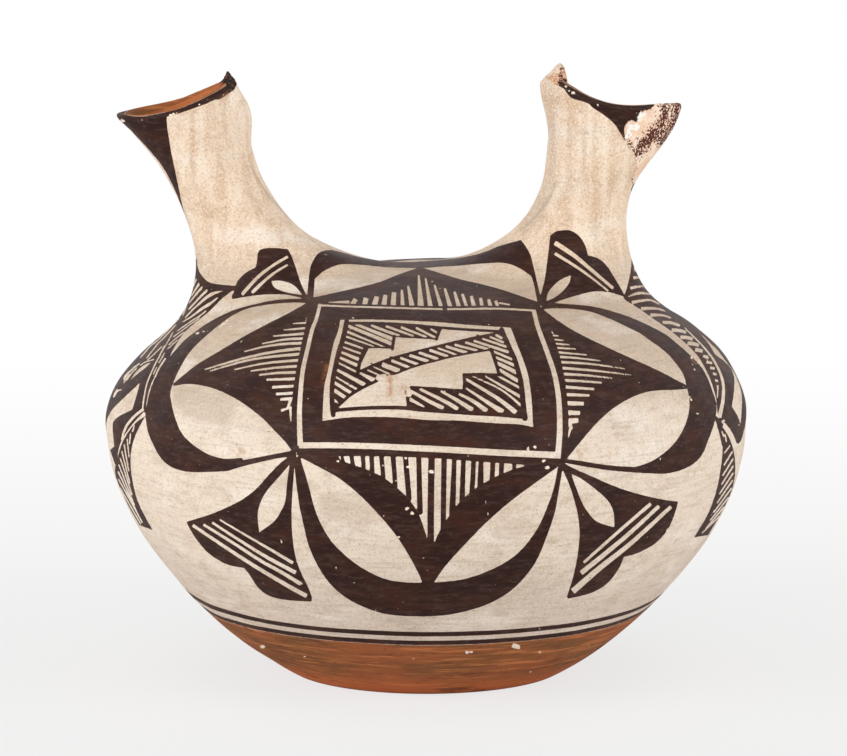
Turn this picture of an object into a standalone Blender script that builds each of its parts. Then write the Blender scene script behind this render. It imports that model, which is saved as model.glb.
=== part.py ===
"""A double-spouted pottery wedding jar, built as the potter forms it.

The body is turned from one outline and split into the pressed base, the coil courses and the crown.
Each spout is lofted from its footprint on the crown to its rim. Metres, +Z up, +X to the viewer's
right, and the jar stands on z = 0.
"""

import functools
import math
from dataclasses import dataclass

import bmesh
import bpy
import numpy as np

# Body outline
BELLY_RADIUS = 0.120
BELLY_HEIGHT = 0.094
CROWN_RISE = 0.0595
FOOT_RADIUS = 0.052
BELLY_FULLNESS = 0.0415
FOOT_FULLNESS = 0.0280
FOOT_ANGLE = math.radians(28.0)
SHOULDER_SHIFT = 0.0029

# Walls and joints
BODY_WALL = 0.0055
NECK_WALL = 0.0045
FLOOR = 0.0070
JOINT_GAP = 0.0003
ROOT_GAP = 0.0005

# Courses
BASE_TOP = 0.0305
BELLY_COURSES = 3
SHOULDER_COURSE = 0.0270

# Spout details
RIM_COIL = 0.0100
RIM_ROUND = 0.0014
ROOT_START = 1.30
ROOT_END = 1.97
SKIRT_EDGE = 0.0010
SEAT_MARGIN = 0.0006
FOOT_REACH = 0.0225
SIDE_FOOT_REACH = 0.0120
SIDE_LIFT = 0.45
RIM_REACH = 0.0100

# Mesh density
BODY_SIDES = 64
NECK_SIDES = 40
OUTLINE_STEPS = 400
COURSE_STEPS = 3
CROWN_STEPS = 8
BASE_STEPS = 7
NECK_STEPS = 7
SEAT_STEPS = 4
ROOT_STEPS = 8

LIP_NARROWNESS = 3
SHIFT_SPREAD = 1.3
HANDLE_PROBE = 0.0020
NORMAL_STEP = 0.01
BORE_SEARCH_STEPS = 80


@dataclass(frozen=True)
class Spout:
    """The sizes of one spout; x runs from the jar's axis, heights run from the crest of the crown."""

    side: str
    sign: int
    foot_x: float
    foot_long: float
    foot_wide: float
    waist_x: float
    waist_above: float
    waist_long: float
    waist_wide: float
    lean: float
    waist_flare: float
    outer_reach: float
    inner_reach: float
    outer_lift: float
    inner_lift: float
    mouth_x: float
    mouth_long: float
    mouth_wide: float
    lip_pull: float
    lip_above: float
    front_above: float
    inner_above: float
    back_above: float
    lip_flare: float
    inner_flare: float
    root_half_angle: float
    root_tear: float
    root_thick: float


LEFT_SPOUT = Spout(
    side="left",
    sign=-1,
    foot_x=-0.0560,
    foot_long=0.0420,
    foot_wide=0.0330,
    waist_x=-0.0783,
    waist_above=0.0305,
    waist_long=0.0173,
    waist_wide=0.0175,
    lean=math.radians(29.0),
    waist_flare=math.radians(0.0),
    outer_reach=0.0215,
    inner_reach=0.0235,
    outer_lift=0.15,
    inner_lift=0.24,
    mouth_x=-0.0905,
    mouth_long=0.0200,
    mouth_wide=0.0185,
    lip_pull=0.0060,
    lip_above=0.0550,
    front_above=0.0575,
    inner_above=0.0660,
    back_above=0.0595,
    lip_flare=math.radians(48.0),
    inner_flare=math.radians(22.0),
    root_half_angle=math.radians(31.0),
    root_tear=0.0055,
    root_thick=0.0008,
)

RIGHT_SPOUT = Spout(
    side="right",
    sign=1,
    foot_x=0.0455,
    foot_long=0.0445,
    foot_wide=0.0330,
    waist_x=0.0605,
    waist_above=0.0305,
    waist_long=0.0172,
    waist_wide=0.0175,
    lean=math.radians(24.5),
    waist_flare=math.radians(8.5),
    outer_reach=0.0120,
    inner_reach=0.0190,
    outer_lift=0.10,
    inner_lift=0.0,
    mouth_x=0.0665,
    mouth_long=0.0205,
    mouth_wide=0.0185,
    lip_pull=0.0085,
    lip_above=0.0590,
    front_above=0.0585,
    inner_above=0.0650,
    back_above=0.0560,
    lip_flare=math.radians(26.0),
    inner_flare=math.radians(0.0),
    root_half_angle=math.radians(31.0),
    root_tear=0.0075,
    root_thick=0.0026,
)


def bezier(start, first, second, end, t):
    """Points of a cubic curve at the parameters t."""
    t = np.asarray(t, float)[..., None]
    s = 1.0 - t
    return s**3 * start + 3 * s * s * t * first + 3 * s * t * t * second + t**3 * end


@functools.lru_cache
def outline(inset):
    """The body's outline from its foot to its crest, moved inwards.

    Args:
        inset: How far inside the outer surface the outline lies.

    Returns:
        Radius, height and share of the shoulder's shift along the outline.
    """
    belly = np.array([BELLY_RADIUS, BELLY_HEIGHT])
    foot = np.array([FOOT_RADIUS, 0.0])
    foot_handle = foot + FOOT_FULLNESS * np.array([math.cos(FOOT_ANGLE), math.sin(FOOT_ANGLE)])
    lower = bezier(foot, foot_handle, belly - [0.0, BELLY_FULLNESS], belly, np.linspace(0, 1, OUTLINE_STEPS))
    angle = np.linspace(0, math.pi / 2, OUTLINE_STEPS)[1:]
    upper = np.stack([BELLY_RADIUS * np.cos(angle), BELLY_HEIGHT + CROWN_RISE * np.sin(angle)], axis=1)
    points = np.concatenate([lower, upper])
    shift = np.concatenate([np.zeros(len(lower)), shift_share(angle)])
    along = np.gradient(points, axis=0)
    along /= np.linalg.norm(along, axis=1, keepdims=True)
    inwards = np.stack([-along[:, 1], along[:, 0]], axis=1)
    moved = points + inset * inwards
    moved[-1] = (0.0, BELLY_HEIGHT + CROWN_RISE - inset)
    return moved[:, 0], moved[:, 1], shift


def shift_share(angle):
    """How much of the shoulder's shift a ring takes, at an angle up the crown's ellipse."""
    return np.sin(2 * np.clip(angle, 0, math.pi / 2)) ** SHIFT_SPREAD


def shift_towards(azimuth):
    """How far the hand-built shoulder stands out in a direction: out on the right, in on the left."""
    return SHOULDER_SHIFT * math.cos(azimuth)


def body_radius(height, azimuth, inset=0.0):
    """The body's radius at a height and direction, below the crown's flat top."""
    radius, level, shift = outline(inset)
    return float(np.interp(height, level, radius + shift * shift_towards(azimuth)))


def body_top(x, y, lift=0.0):
    """The height of the body's upper surface over a point, plus a lift."""
    radius, level, shift = outline(0.0)
    upper = level >= BELLY_HEIGHT
    reach = (radius + shift * shift_towards(math.atan2(y, x)))[upper]
    return float(np.interp(-math.hypot(x, y), -reach, level[upper])) + lift


def crest():
    """The height of the body's top on its axis."""
    return BELLY_HEIGHT + CROWN_RISE


def ceramic(name, colour, roughness):
    """A plain material for one kind of fired surface."""
    made = bpy.data.materials.new(name)
    made.use_nodes = True
    shader = made.node_tree.nodes["Principled BSDF"]
    shader.inputs["Base Color"].default_value = (*colour, 1.0)
    shader.inputs["Roughness"].default_value = roughness
    shader.inputs["Metallic"].default_value = 0.0
    return made


def add_object(name, mesh_maker, material):
    """Makes a named object from a filled bmesh and gives it its material."""
    data = bpy.data.meshes.new(name)
    bmesh.ops.recalc_face_normals(mesh_maker, faces=mesh_maker.faces)
    mesh_maker.to_mesh(data)
    mesh_maker.free()
    data.materials.append(material)
    made = bpy.data.objects.new(name, data)
    bpy.context.scene.collection.objects.link(made)
    return made


def add_rings(maker, rings):
    """Adds rings of vertices; a ring of one point is a pole."""
    return [[maker.verts.new(point) for point in ring] for ring in rings]


def bridge(maker, lower, upper):
    """Joins two neighbouring rings with faces, or a ring and a pole with a fan."""
    if len(lower) == 1:
        lower, upper = upper, lower
    count = len(lower)
    for i in range(count):
        j = (i + 1) % count
        if len(upper) == 1:
            maker.faces.new((lower[i], lower[j], upper[0]))
        else:
            maker.faces.new((lower[i], lower[j], upper[j], upper[i]))


def closed_loft(name, rings, material, endless):
    """Makes a solid from a chain of rings; an endless chain closes on itself like a tube's wall."""
    maker = bmesh.new()
    made = add_rings(maker, rings)
    for lower, upper in zip(made, made[1:]):
        bridge(maker, lower, upper)
    if endless:
        bridge(maker, made[-1], made[0])
    return add_object(name, maker, material)


def azimuths(sides):
    """Evenly spaced directions for one ring."""
    return [2 * math.pi * i / sides for i in range(sides)]


def body_ring(height, inset):
    """One ring of the body's wall at a height."""
    ring = []
    for azimuth in azimuths(BODY_SIDES):
        radius = body_radius(height, azimuth, inset)
        ring.append((radius * math.cos(azimuth), radius * math.sin(azimuth), height))
    return ring


def make_base(material):
    """The pressed base, with the flat face that the jar stands on."""
    top = BASE_TOP - JOINT_GAP / 2
    outer = [body_ring(h, 0.0) for h in np.linspace(0.0, top, BASE_STEPS + 1)]
    inner = [body_ring(h, BODY_WALL) for h in np.linspace(top, FLOOR, BASE_STEPS + 1)]
    rings = [[(0.0, 0.0, 0.0)], *outer, *inner, [(0.0, 0.0, FLOOR)]]
    return closed_loft("base_bowl", rings, material, endless=False)


def make_course(name, bottom, top, material):
    """One coil course of the wall between two joints."""
    heights = np.linspace(bottom + JOINT_GAP / 2, top - JOINT_GAP / 2, COURSE_STEPS + 1)
    outer = [body_ring(h, 0.0) for h in heights]
    inner = [body_ring(h, BODY_WALL) for h in heights[::-1]]
    return closed_loft(name, outer + inner, material, endless=True)


def crown_ring(angle, inset, azimuth_list):
    """One ring of the domed crown at an angle up its ellipse."""
    ring = []
    for azimuth in azimuth_list:
        radius = (BELLY_RADIUS - inset) * math.cos(angle)
        radius += shift_towards(azimuth) * shift_share(angle)
        height = BELLY_HEIGHT + (CROWN_RISE - inset) * math.sin(angle)
        ring.append((radius * math.cos(azimuth), radius * math.sin(azimuth), height))
    return ring


def crown_rings(bottom, inset):
    """The rings of one face of the crown, from its joint to its pole."""
    start = math.asin((bottom - BELLY_HEIGHT) / (CROWN_RISE - inset))
    angles = np.linspace(start, math.pi / 2, CROWN_STEPS + 1)
    rings = [crown_ring(angle, inset, azimuths(BODY_SIDES)) for angle in angles[:-1]]
    return rings + [[(0.0, 0.0, BELLY_HEIGHT + CROWN_RISE - inset)]]


def ellipse(centre_x, long, wide, sign, azimuth):
    """A point of a spout's plan outline; azimuth 0 points away from the jar's axis."""
    return centre_x + sign * long * math.cos(azimuth), wide * math.sin(azimuth)


def bore_cutter(spout):
    """An upright block that cuts a spout's opening through the crown, just inside the spout's seat."""
    outline_points = [bore_point(spout, azimuth) for azimuth in azimuths(NECK_SIDES)]
    middle = np.mean(outline_points, axis=0)
    inwards = [(middle - point) / np.linalg.norm(middle - point) for point in outline_points]
    plan = [point + SEAT_MARGIN * towards for point, towards in zip(outline_points, inwards)]
    rings = []
    for height in (BELLY_HEIGHT, crest() + BODY_WALL):
        rings.append([(x, y, height) for x, y, _ in plan])
    rings.insert(0, [(middle[0], middle[1], BELLY_HEIGHT)])
    rings.append([(middle[0], middle[1], crest() + BODY_WALL)])
    cutter = closed_loft(f"{spout.side}_bore_cutter", rings, None, endless=False)
    cutter.hide_render = True
    return cutter


def make_crown(bottom, material):
    """The domed closing slab, with one opening under each spout."""
    outer = crown_rings(bottom + JOINT_GAP / 2, 0.0)
    inner = crown_rings(bottom + JOINT_GAP / 2, BODY_WALL)
    crown = closed_loft("crown", outer[::-1] + inner, material, endless=False)
    for spout in (LEFT_SPOUT, RIGHT_SPOUT):
        cut = crown.modifiers.new(f"{spout.side} opening", "BOOLEAN")
        cut.operation = "DIFFERENCE"
        cut.solver = "EXACT"
        cut.object = bore_cutter(spout)
    return crown


def rim_height(spout, azimuth):
    """The rim's height above the crest, through its four named heights."""
    mean = (spout.lip_above + spout.front_above + spout.inner_above + spout.back_above) / 4
    lengthwise = (spout.lip_above - spout.inner_above) / 2
    crosswise = (spout.back_above - spout.front_above) / 2
    saddle = (spout.lip_above + spout.inner_above - spout.front_above - spout.back_above) / 4
    wave = lengthwise * math.cos(azimuth) + crosswise * math.sin(azimuth)
    return mean + wave + saddle * math.cos(2 * azimuth)


def foot_point(spout, azimuth, inwards=0.0):
    """A point of the skirt's edge on the crown, or a little way inside it."""
    long, wide = spout.foot_long - inwards, spout.foot_wide - inwards
    x, y = ellipse(spout.foot_x, long, wide, spout.sign, azimuth)
    return np.array([x, y, body_top(x, y, JOINT_GAP)])


def waist_direction(spout, azimuth):
    """The way the wall rises at the waist."""
    angle = spout.lean + spout.waist_flare * math.cos(azimuth)
    return np.array([spout.sign * math.sin(angle), 0.0, math.cos(angle)])


def rim_direction(spout, azimuth):
    """The way the wall runs at the rim: most flared at the pour lip."""
    share = (0.5 + 0.5 * math.cos(azimuth)) ** 2
    flare = spout.inner_flare + (spout.lip_flare - spout.inner_flare) * share
    sideways = 0.12 * math.sin(azimuth)
    return np.array([spout.sign * math.sin(flare), sideways, math.cos(flare)])


def mouth_point(spout, azimuth):
    """A point of the rim's outer edge."""
    pull = spout.lip_pull * max(0.0, math.cos(azimuth)) ** LIP_NARROWNESS
    x, y = ellipse(spout.mouth_x, spout.mouth_long + pull, spout.mouth_wide, spout.sign, azimuth)
    return np.array([x, y, crest() + rim_height(spout, azimuth)])


def waist_point(spout, azimuth):
    """A point of the spout's narrowest ring."""
    x, y = ellipse(spout.waist_x, spout.waist_long, spout.waist_wide, spout.sign, azimuth)
    return np.array([x, y, crest() + spout.waist_above])


def skirt_start(spout, azimuth):
    """The outer surface's first point and its handle, on the skirt's edge."""
    edge = foot_point(spout, azimuth)
    direction = foot_point(spout, azimuth, inwards=HANDLE_PROBE) - edge
    direction /= np.linalg.norm(direction)
    outer_share = (1 + math.cos(azimuth)) / 2
    side_share = math.sin(azimuth) ** 2
    direction[2] += spout.inner_lift + (spout.outer_lift - spout.inner_lift) * outer_share
    direction[2] += SIDE_LIFT * side_share
    direction /= np.linalg.norm(direction)
    reach = FOOT_REACH + (SIDE_FOOT_REACH - FOOT_REACH) * side_share
    start = edge + np.array([0.0, 0.0, SKIRT_EDGE])
    return start, start + reach * direction


@functools.lru_cache
def wall_handles(spout, azimuth):
    """The two cubic curves of the outer surface, from the crown to the waist and on to the rim."""
    start, start_handle = skirt_start(spout, azimuth)
    waist, mouth = waist_point(spout, azimuth), mouth_point(spout, azimuth)
    rise = waist_direction(spout, azimuth)
    reach = spout.inner_reach + (spout.outer_reach - spout.inner_reach) * (1 + math.cos(azimuth)) / 2
    lower = (start, start_handle, waist - reach * rise, waist)
    rim_handle = mouth - RIM_REACH * rim_direction(spout, azimuth)
    return lower, (waist, waist + RIM_REACH * rise, rim_handle, mouth)


def outer_wall(spout, azimuth, t):
    """Points of the outer surface: the crown is at t = 0, the waist at 1 and the rim at 2."""
    lower, upper = wall_handles(spout, azimuth)
    t = np.asarray(t, float)
    below = bezier(*lower, np.clip(t, 0, 1))
    above = bezier(*upper, np.clip(t - 1, 0, 1))
    return np.where((t < 1)[:, None], below, above)


def wall_normal(spout, azimuth, t):
    """The outward direction of the outer surface at the curve parameters t."""
    around = outer_wall(spout, azimuth + NORMAL_STEP, t) - outer_wall(spout, azimuth - NORMAL_STEP, t)
    ahead, behind = np.clip(t + NORMAL_STEP, 0, 2), np.clip(t - NORMAL_STEP, 0, 2)
    along = outer_wall(spout, azimuth, ahead) - outer_wall(spout, azimuth, behind)
    normal = spout.sign * np.cross(around, along)
    return normal / np.linalg.norm(normal, axis=1, keepdims=True)


def inner_wall(spout, azimuth, t):
    """Points of the bore's surface, a wall's thickness inside the outer one."""
    return outer_wall(spout, azimuth, t) - NECK_WALL * wall_normal(spout, azimuth, t)


@functools.lru_cache
def bore_start(spout, azimuth):
    """The curve parameter where the bore's surface meets the crown."""
    t = np.linspace(0, 1, BORE_SEARCH_STEPS)
    points = inner_wall(spout, azimuth, t)
    above = np.array([z - body_top(x, y, JOINT_GAP) for x, y, z in points])
    last_below = np.flatnonzero(above < 0)[-1]
    low, high = above[last_below], above[last_below + 1]
    return float(t[last_below] + (t[1] - t[0]) * -low / (high - low))


def bore_point(spout, azimuth):
    """The bore's edge on the crown."""
    x, y, _ = inner_wall(spout, azimuth, np.array([bore_start(spout, azimuth)]))[0]
    return np.array([x, y, body_top(x, y, JOINT_GAP)])


def seat_point(spout, azimuth, share):
    """A point of the spout's seat on the crown, from its bore at 0 to its skirt's edge at 1."""
    x, y, _ = bore_point(spout, azimuth) * (1 - share) + foot_point(spout, azimuth) * share
    return np.array([x, y, body_top(x, y, JOINT_GAP)])


@functools.lru_cache
def coil_start(spout, azimuth):
    """The curve parameter where the rim coil begins, a coil's height under the rim."""
    t = np.linspace(1, 2, OUTLINE_STEPS)
    heights = outer_wall(spout, azimuth, t)[:, 2]
    return float(np.interp(heights[-1] - RIM_COIL, heights, t))


def rings_of(columns):
    """Turns the columns of a loft into its rings."""
    return [[tuple(point) for point in ring] for ring in zip(*columns)]


def make_neck(spout, material):
    """A spout's tube, smeared out over the crown at its foot."""
    columns = []
    for azimuth in azimuths(NECK_SIDES):
        seat = [seat_point(spout, azimuth, share) for share in np.linspace(0, 1, SEAT_STEPS + 1)]
        top = coil_start(spout, azimuth)
        above_waist = np.linspace(1, top, NECK_STEPS + 1)[1:]
        outside = np.concatenate([np.linspace(0, 1, NECK_STEPS + 1), above_waist])
        inside = np.concatenate([np.linspace(bore_start(spout, azimuth), 1, NECK_STEPS + 1)[1:], above_waist])
        outer = outer_wall(spout, azimuth, outside)
        inner = inner_wall(spout, azimuth, inside)
        columns.append([*seat, *outer, *inner[::-1]])
    return closed_loft(f"{spout.side}_neck", rings_of(columns), material, endless=True)


def make_rim(spout, material):
    """A spout's last coil, with its rounded rim and pour lip."""
    columns = []
    for azimuth in azimuths(NECK_SIDES):
        start = coil_start(spout, azimuth)
        clear = JOINT_GAP / RIM_COIL * (2 - start)
        t = np.linspace(start + clear, 2, COURSE_STEPS + 1)
        outer, inner = outer_wall(spout, azimuth, t), inner_wall(spout, azimuth, t)
        top = []
        for share in (0.25, 0.5, 0.75):
            point = outer[-1] + share * (inner[-1] - outer[-1])
            top.append(point + np.array([0.0, 0.0, RIM_ROUND * math.sin(math.pi * share)]))
        columns.append([*outer, *top, *inner[::-1]])
    return closed_loft(f"{spout.side}_rim", rings_of(columns), material, endless=True)


def root_section(spout, turn):
    """The cross-section of a torn handle root, over the inner side of the rim.

    Args:
        spout: The spout that the root belongs to.
        turn: Where the section lies across the root, from -1 to 1.

    Returns:
        The section's corners, from its lower tip up the outside and back down along the spout.
    """
    azimuth = math.pi + turn * spout.root_half_angle
    centre = np.array([math.cos(azimuth) * spout.sign, math.sin(azimuth), 0.0])
    up = np.array([0.0, 0.0, 1.0])
    levels = np.linspace(ROOT_START, ROOT_END, ROOT_STEPS)
    wall = outer_wall(spout, azimuth, levels)
    spread = math.cos(turn * math.pi / 2) ** 0.5
    swell = SKIRT_EDGE + spout.root_thick * spread * (levels - 1) ** 3
    clear = ROOT_GAP
    normals = wall_normal(spout, azimuth, levels)
    outside = list(wall + (clear + swell)[:, None] * normals)
    inside = list(wall + clear * normals)
    edge = outer_wall(spout, azimuth, np.array([2.0]))[0]
    far_edge = inner_wall(spout, azimuth, np.array([2.0]))[0]
    tear = SKIRT_EDGE + spout.root_tear * max(0.0, math.cos((turn - 0.15) * math.pi / 2)) ** 1.5
    bed = RIM_ROUND + clear
    top = [edge + up * (bed + tear * 0.45), far_edge + up * (bed + tear)]
    under = [far_edge + up * bed, edge + clear * centre + up * bed]
    return [tuple(point) for point in outside + top + under + inside[::-1]]


def make_root(spout, material):
    """The torn stub of the broken handle on a spout's inner side."""
    maker = bmesh.new()
    sections = [root_section(spout, turn) for turn in np.linspace(-1, 1, ROOT_STEPS + 1)]
    made = add_rings(maker, sections)
    for first, second in zip(made, made[1:]):
        bridge(maker, first, second)
    for end in (made[0], made[-1]):
        half = len(end) // 2
        outside, inside = end[:half], end[half:][::-1]
        for i in range(half - 1):
            maker.faces.new((outside[i], outside[i + 1], inside[i + 1], inside[i]))
    return add_object(f"{spout.side}_handle_root", maker, material)


def clear_scene():
    """Removes what the scene holds."""
    for old in list(bpy.data.objects):
        bpy.data.objects.remove(old)


def main():
    """Builds every piece of the jar."""
    clear_scene()
    orange_clay = ceramic("orange fired clay", (0.38, 0.11, 0.04), 0.62)
    cream_slip = ceramic("cream slip", (0.68, 0.56, 0.44), 0.50)
    black_paint = ceramic("black mineral paint", (0.035, 0.025, 0.022), 0.45)

    make_base(orange_clay)
    course = (BELLY_HEIGHT - BASE_TOP) / BELLY_COURSES
    for number in range(BELLY_COURSES):
        bottom = BASE_TOP + number * course
        make_course(f"belly_course_{number + 1}", bottom, bottom + course, cream_slip)
    shoulder_top = BELLY_HEIGHT + SHOULDER_COURSE
    make_course("shoulder_course", BELLY_HEIGHT, shoulder_top, cream_slip)
    make_crown(shoulder_top, cream_slip)
    for spout in (LEFT_SPOUT, RIGHT_SPOUT):
        make_neck(spout, cream_slip)
        make_rim(spout, black_paint)
        make_root(spout, orange_clay)


main()
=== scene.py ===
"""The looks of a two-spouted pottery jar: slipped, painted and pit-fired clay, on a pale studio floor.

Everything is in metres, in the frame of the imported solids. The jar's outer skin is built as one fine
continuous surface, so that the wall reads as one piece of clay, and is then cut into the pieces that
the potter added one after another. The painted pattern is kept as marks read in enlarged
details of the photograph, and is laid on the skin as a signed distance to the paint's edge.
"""

from __future__ import annotations

import logging
import math
from dataclasses import dataclass, field
from enum import Enum
from typing import Iterable, Sequence

import bpy
import numpy as np
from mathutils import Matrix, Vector, noise
from mathutils.geometry import delaunay_2d_cdt


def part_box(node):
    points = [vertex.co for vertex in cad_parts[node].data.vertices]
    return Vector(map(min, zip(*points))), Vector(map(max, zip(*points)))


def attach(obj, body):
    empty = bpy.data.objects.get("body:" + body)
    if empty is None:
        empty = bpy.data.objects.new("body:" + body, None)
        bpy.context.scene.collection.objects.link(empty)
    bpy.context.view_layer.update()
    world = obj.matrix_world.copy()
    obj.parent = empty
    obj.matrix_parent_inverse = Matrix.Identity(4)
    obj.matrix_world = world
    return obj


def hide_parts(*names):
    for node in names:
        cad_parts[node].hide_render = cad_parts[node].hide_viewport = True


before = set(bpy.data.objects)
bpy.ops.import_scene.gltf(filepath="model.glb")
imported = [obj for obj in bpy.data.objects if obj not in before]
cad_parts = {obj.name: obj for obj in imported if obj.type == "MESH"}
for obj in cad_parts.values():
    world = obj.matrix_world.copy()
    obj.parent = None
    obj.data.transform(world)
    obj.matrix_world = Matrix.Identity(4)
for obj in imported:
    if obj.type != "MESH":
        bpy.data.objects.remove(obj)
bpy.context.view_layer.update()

LOG = logging.getLogger("jar")
MM = 0.001

COURSES = ("belly_course_1", "belly_course_2", "belly_course_3", "shoulder_course")

Points = np.ndarray
Numbers = Sequence[float] | Points


# The photograph's camera


@dataclass(frozen=True)
class StudioCamera:
    """The photograph's camera, found from the jar's outline and its two painted rings."""

    image_wide: float = 847.0
    image_high: float = 756.0
    focal_pixels: float = 3761.0
    sensor: float = 36.0
    aside: float = -0.00112
    away: float = 1.400
    height: float = 0.304
    pitch: float = 0.138
    farthest: float = 60.0
    jar_front: float = 0.10

    def place(self) -> bpy.types.Object:
        """Makes the camera object and hands it to the scene."""
        data = bpy.data.cameras.new("studio camera")
        data.sensor_width = self.sensor
        data.lens = self.focal_pixels / self.image_wide * self.sensor
        data.clip_end = self.farthest
        made = bpy.data.objects.new("studio_camera", data)
        made.location = (self.aside, -self.away, self.height)
        made.rotation_euler = (math.pi / 2 - self.pitch, 0.0, 0.0)
        bpy.context.scene.collection.objects.link(made)
        bpy.context.scene.camera = made
        return made

    def project(self, points: Points) -> Points:
        """Finds where points fall in the photograph.

        Args:
            points: Places in metres, one per row.

        Returns:
            Their pixel coordinates, one pair per row.
        """
        across = points[:, 0] - self.aside
        ahead = points[:, 1] + self.away
        above = points[:, 2] - self.height
        depth = ahead * math.cos(self.pitch) - above * math.sin(self.pitch)
        rise = ahead * math.sin(self.pitch) + above * math.cos(self.pitch)
        u = self.image_wide / 2 + self.focal_pixels * across / depth
        v = self.image_high / 2 - self.focal_pixels * rise / depth
        return np.stack([u, v], axis=1)

    def pixel_size(self) -> float:
        """How many metres one pixel spans on the jar's front."""
        return (self.away - self.jar_front) / self.focal_pixels


# The jar's form, with the same sizes as its solids


def bezier(start: Points, first: Points, second: Points, end: Points, t: Points) -> Points:
    """Points of cubic curves.

    Args:
        start, first, second, end: Control points, the last axis holding their coordinates.
        t: Curve parameters, already shaped to multiply the control points.

    Returns:
        The points at those parameters.
    """
    s = 1.0 - t
    return s**3 * start + 3 * s * s * t * first + 3 * s * t * t * second + t**3 * end


@dataclass(frozen=True)
class BodyForm:
    """The turned outline of the body and the thickness of its wall."""

    foot_radius: float = 0.052
    belly_radius: float = 0.120
    belly_height: float = 0.094
    crown_rise: float = 0.0595
    belly_fullness: float = 0.0415
    foot_fullness: float = 0.0280
    foot_angle: float = math.radians(28.0)
    shoulder_shift: float = 0.0029
    shift_spread: float = 1.3
    wall: float = 0.0055
    floor: float = 0.0070
    steps: int = 1500

    def profile(self, inset: float = 0.0) -> tuple[Points, Points, Points, Points]:
        """The outline from the foot to the crest.

        Args:
            inset: How far inside the outer surface the outline lies.

        Returns:
            Radius, height, share of the shoulder's shift, and length along the outline.
        """
        belly = np.array([self.belly_radius, self.belly_height])
        foot = np.array([self.foot_radius, 0.0])
        towards = np.array([math.cos(self.foot_angle), math.sin(self.foot_angle)])
        t = np.linspace(0, 1, self.steps)[:, None]
        below = np.array([0.0, self.belly_fullness])
        lower = bezier(foot, foot + self.foot_fullness * towards, belly - below, belly, t)
        angle = np.linspace(0, math.pi / 2, self.steps)[1:]
        across, up = self.belly_radius * np.cos(angle), self.crown_rise * np.sin(angle)
        upper = np.stack([across, self.belly_height + up], axis=1)
        points = np.concatenate([lower, upper])
        shift = np.concatenate([np.zeros(len(lower)), np.sin(2 * angle) ** self.shift_spread])
        shift[-1] = 0.0
        along = np.gradient(points, axis=0)
        along /= np.linalg.norm(along, axis=1, keepdims=True)
        moved = points + inset * np.stack([-along[:, 1], along[:, 0]], axis=1)
        moved[-1] = (0.0, self.crest() - inset)
        length = np.concatenate([[0.0], np.cumsum(np.linalg.norm(np.diff(points, axis=0), axis=1))])
        return moved[:, 0], moved[:, 1], shift, length

    def crest(self) -> float:
        """The height of the body's top on its axis."""
        return self.belly_height + self.crown_rise

    def ring(self, length: float, azimuth: Points, inset: float = 0.0) -> Points:
        """One ring of the wall, at a length along the outline from the foot."""
        radius, level, shift, along = self.profile(inset)
        out = np.interp(length, along, radius)
        out = out + np.interp(length, along, shift) * self.shoulder_shift * np.cos(azimuth)
        height = np.full_like(azimuth, np.interp(length, along, level))
        return np.stack([out * np.cos(azimuth), out * np.sin(azimuth), height], axis=1)

    def top(self, plan: Points, inset: float = 0.0) -> Points:
        """Lifts plan points on to the crown.

        Args:
            plan: x and y, one pair per row.
            inset: How far inside the outer surface the result lies.

        Returns:
            The points on the crown's surface.
        """
        radius, level, shift, _ = self.profile(inset)
        upper = slice(self.steps, None)
        reach, height, share = radius[upper][::-1], level[upper][::-1], shift[upper][::-1]
        out = np.hypot(plan[:, 0], plan[:, 1])
        lean = self.shoulder_shift * plan[:, 0] / np.maximum(out, 1e-6)
        z = np.interp(out, reach, height)
        for _ in range(3):
            z = np.interp(out - lean * np.interp(-z, -height, share), reach, height)
        return np.column_stack([plan, z])

    def length_at(self, height: float) -> float:
        """The length along the outline at which the wall reaches a height."""
        _, level, _, along = self.profile()
        return float(np.interp(height, level, along))


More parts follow.
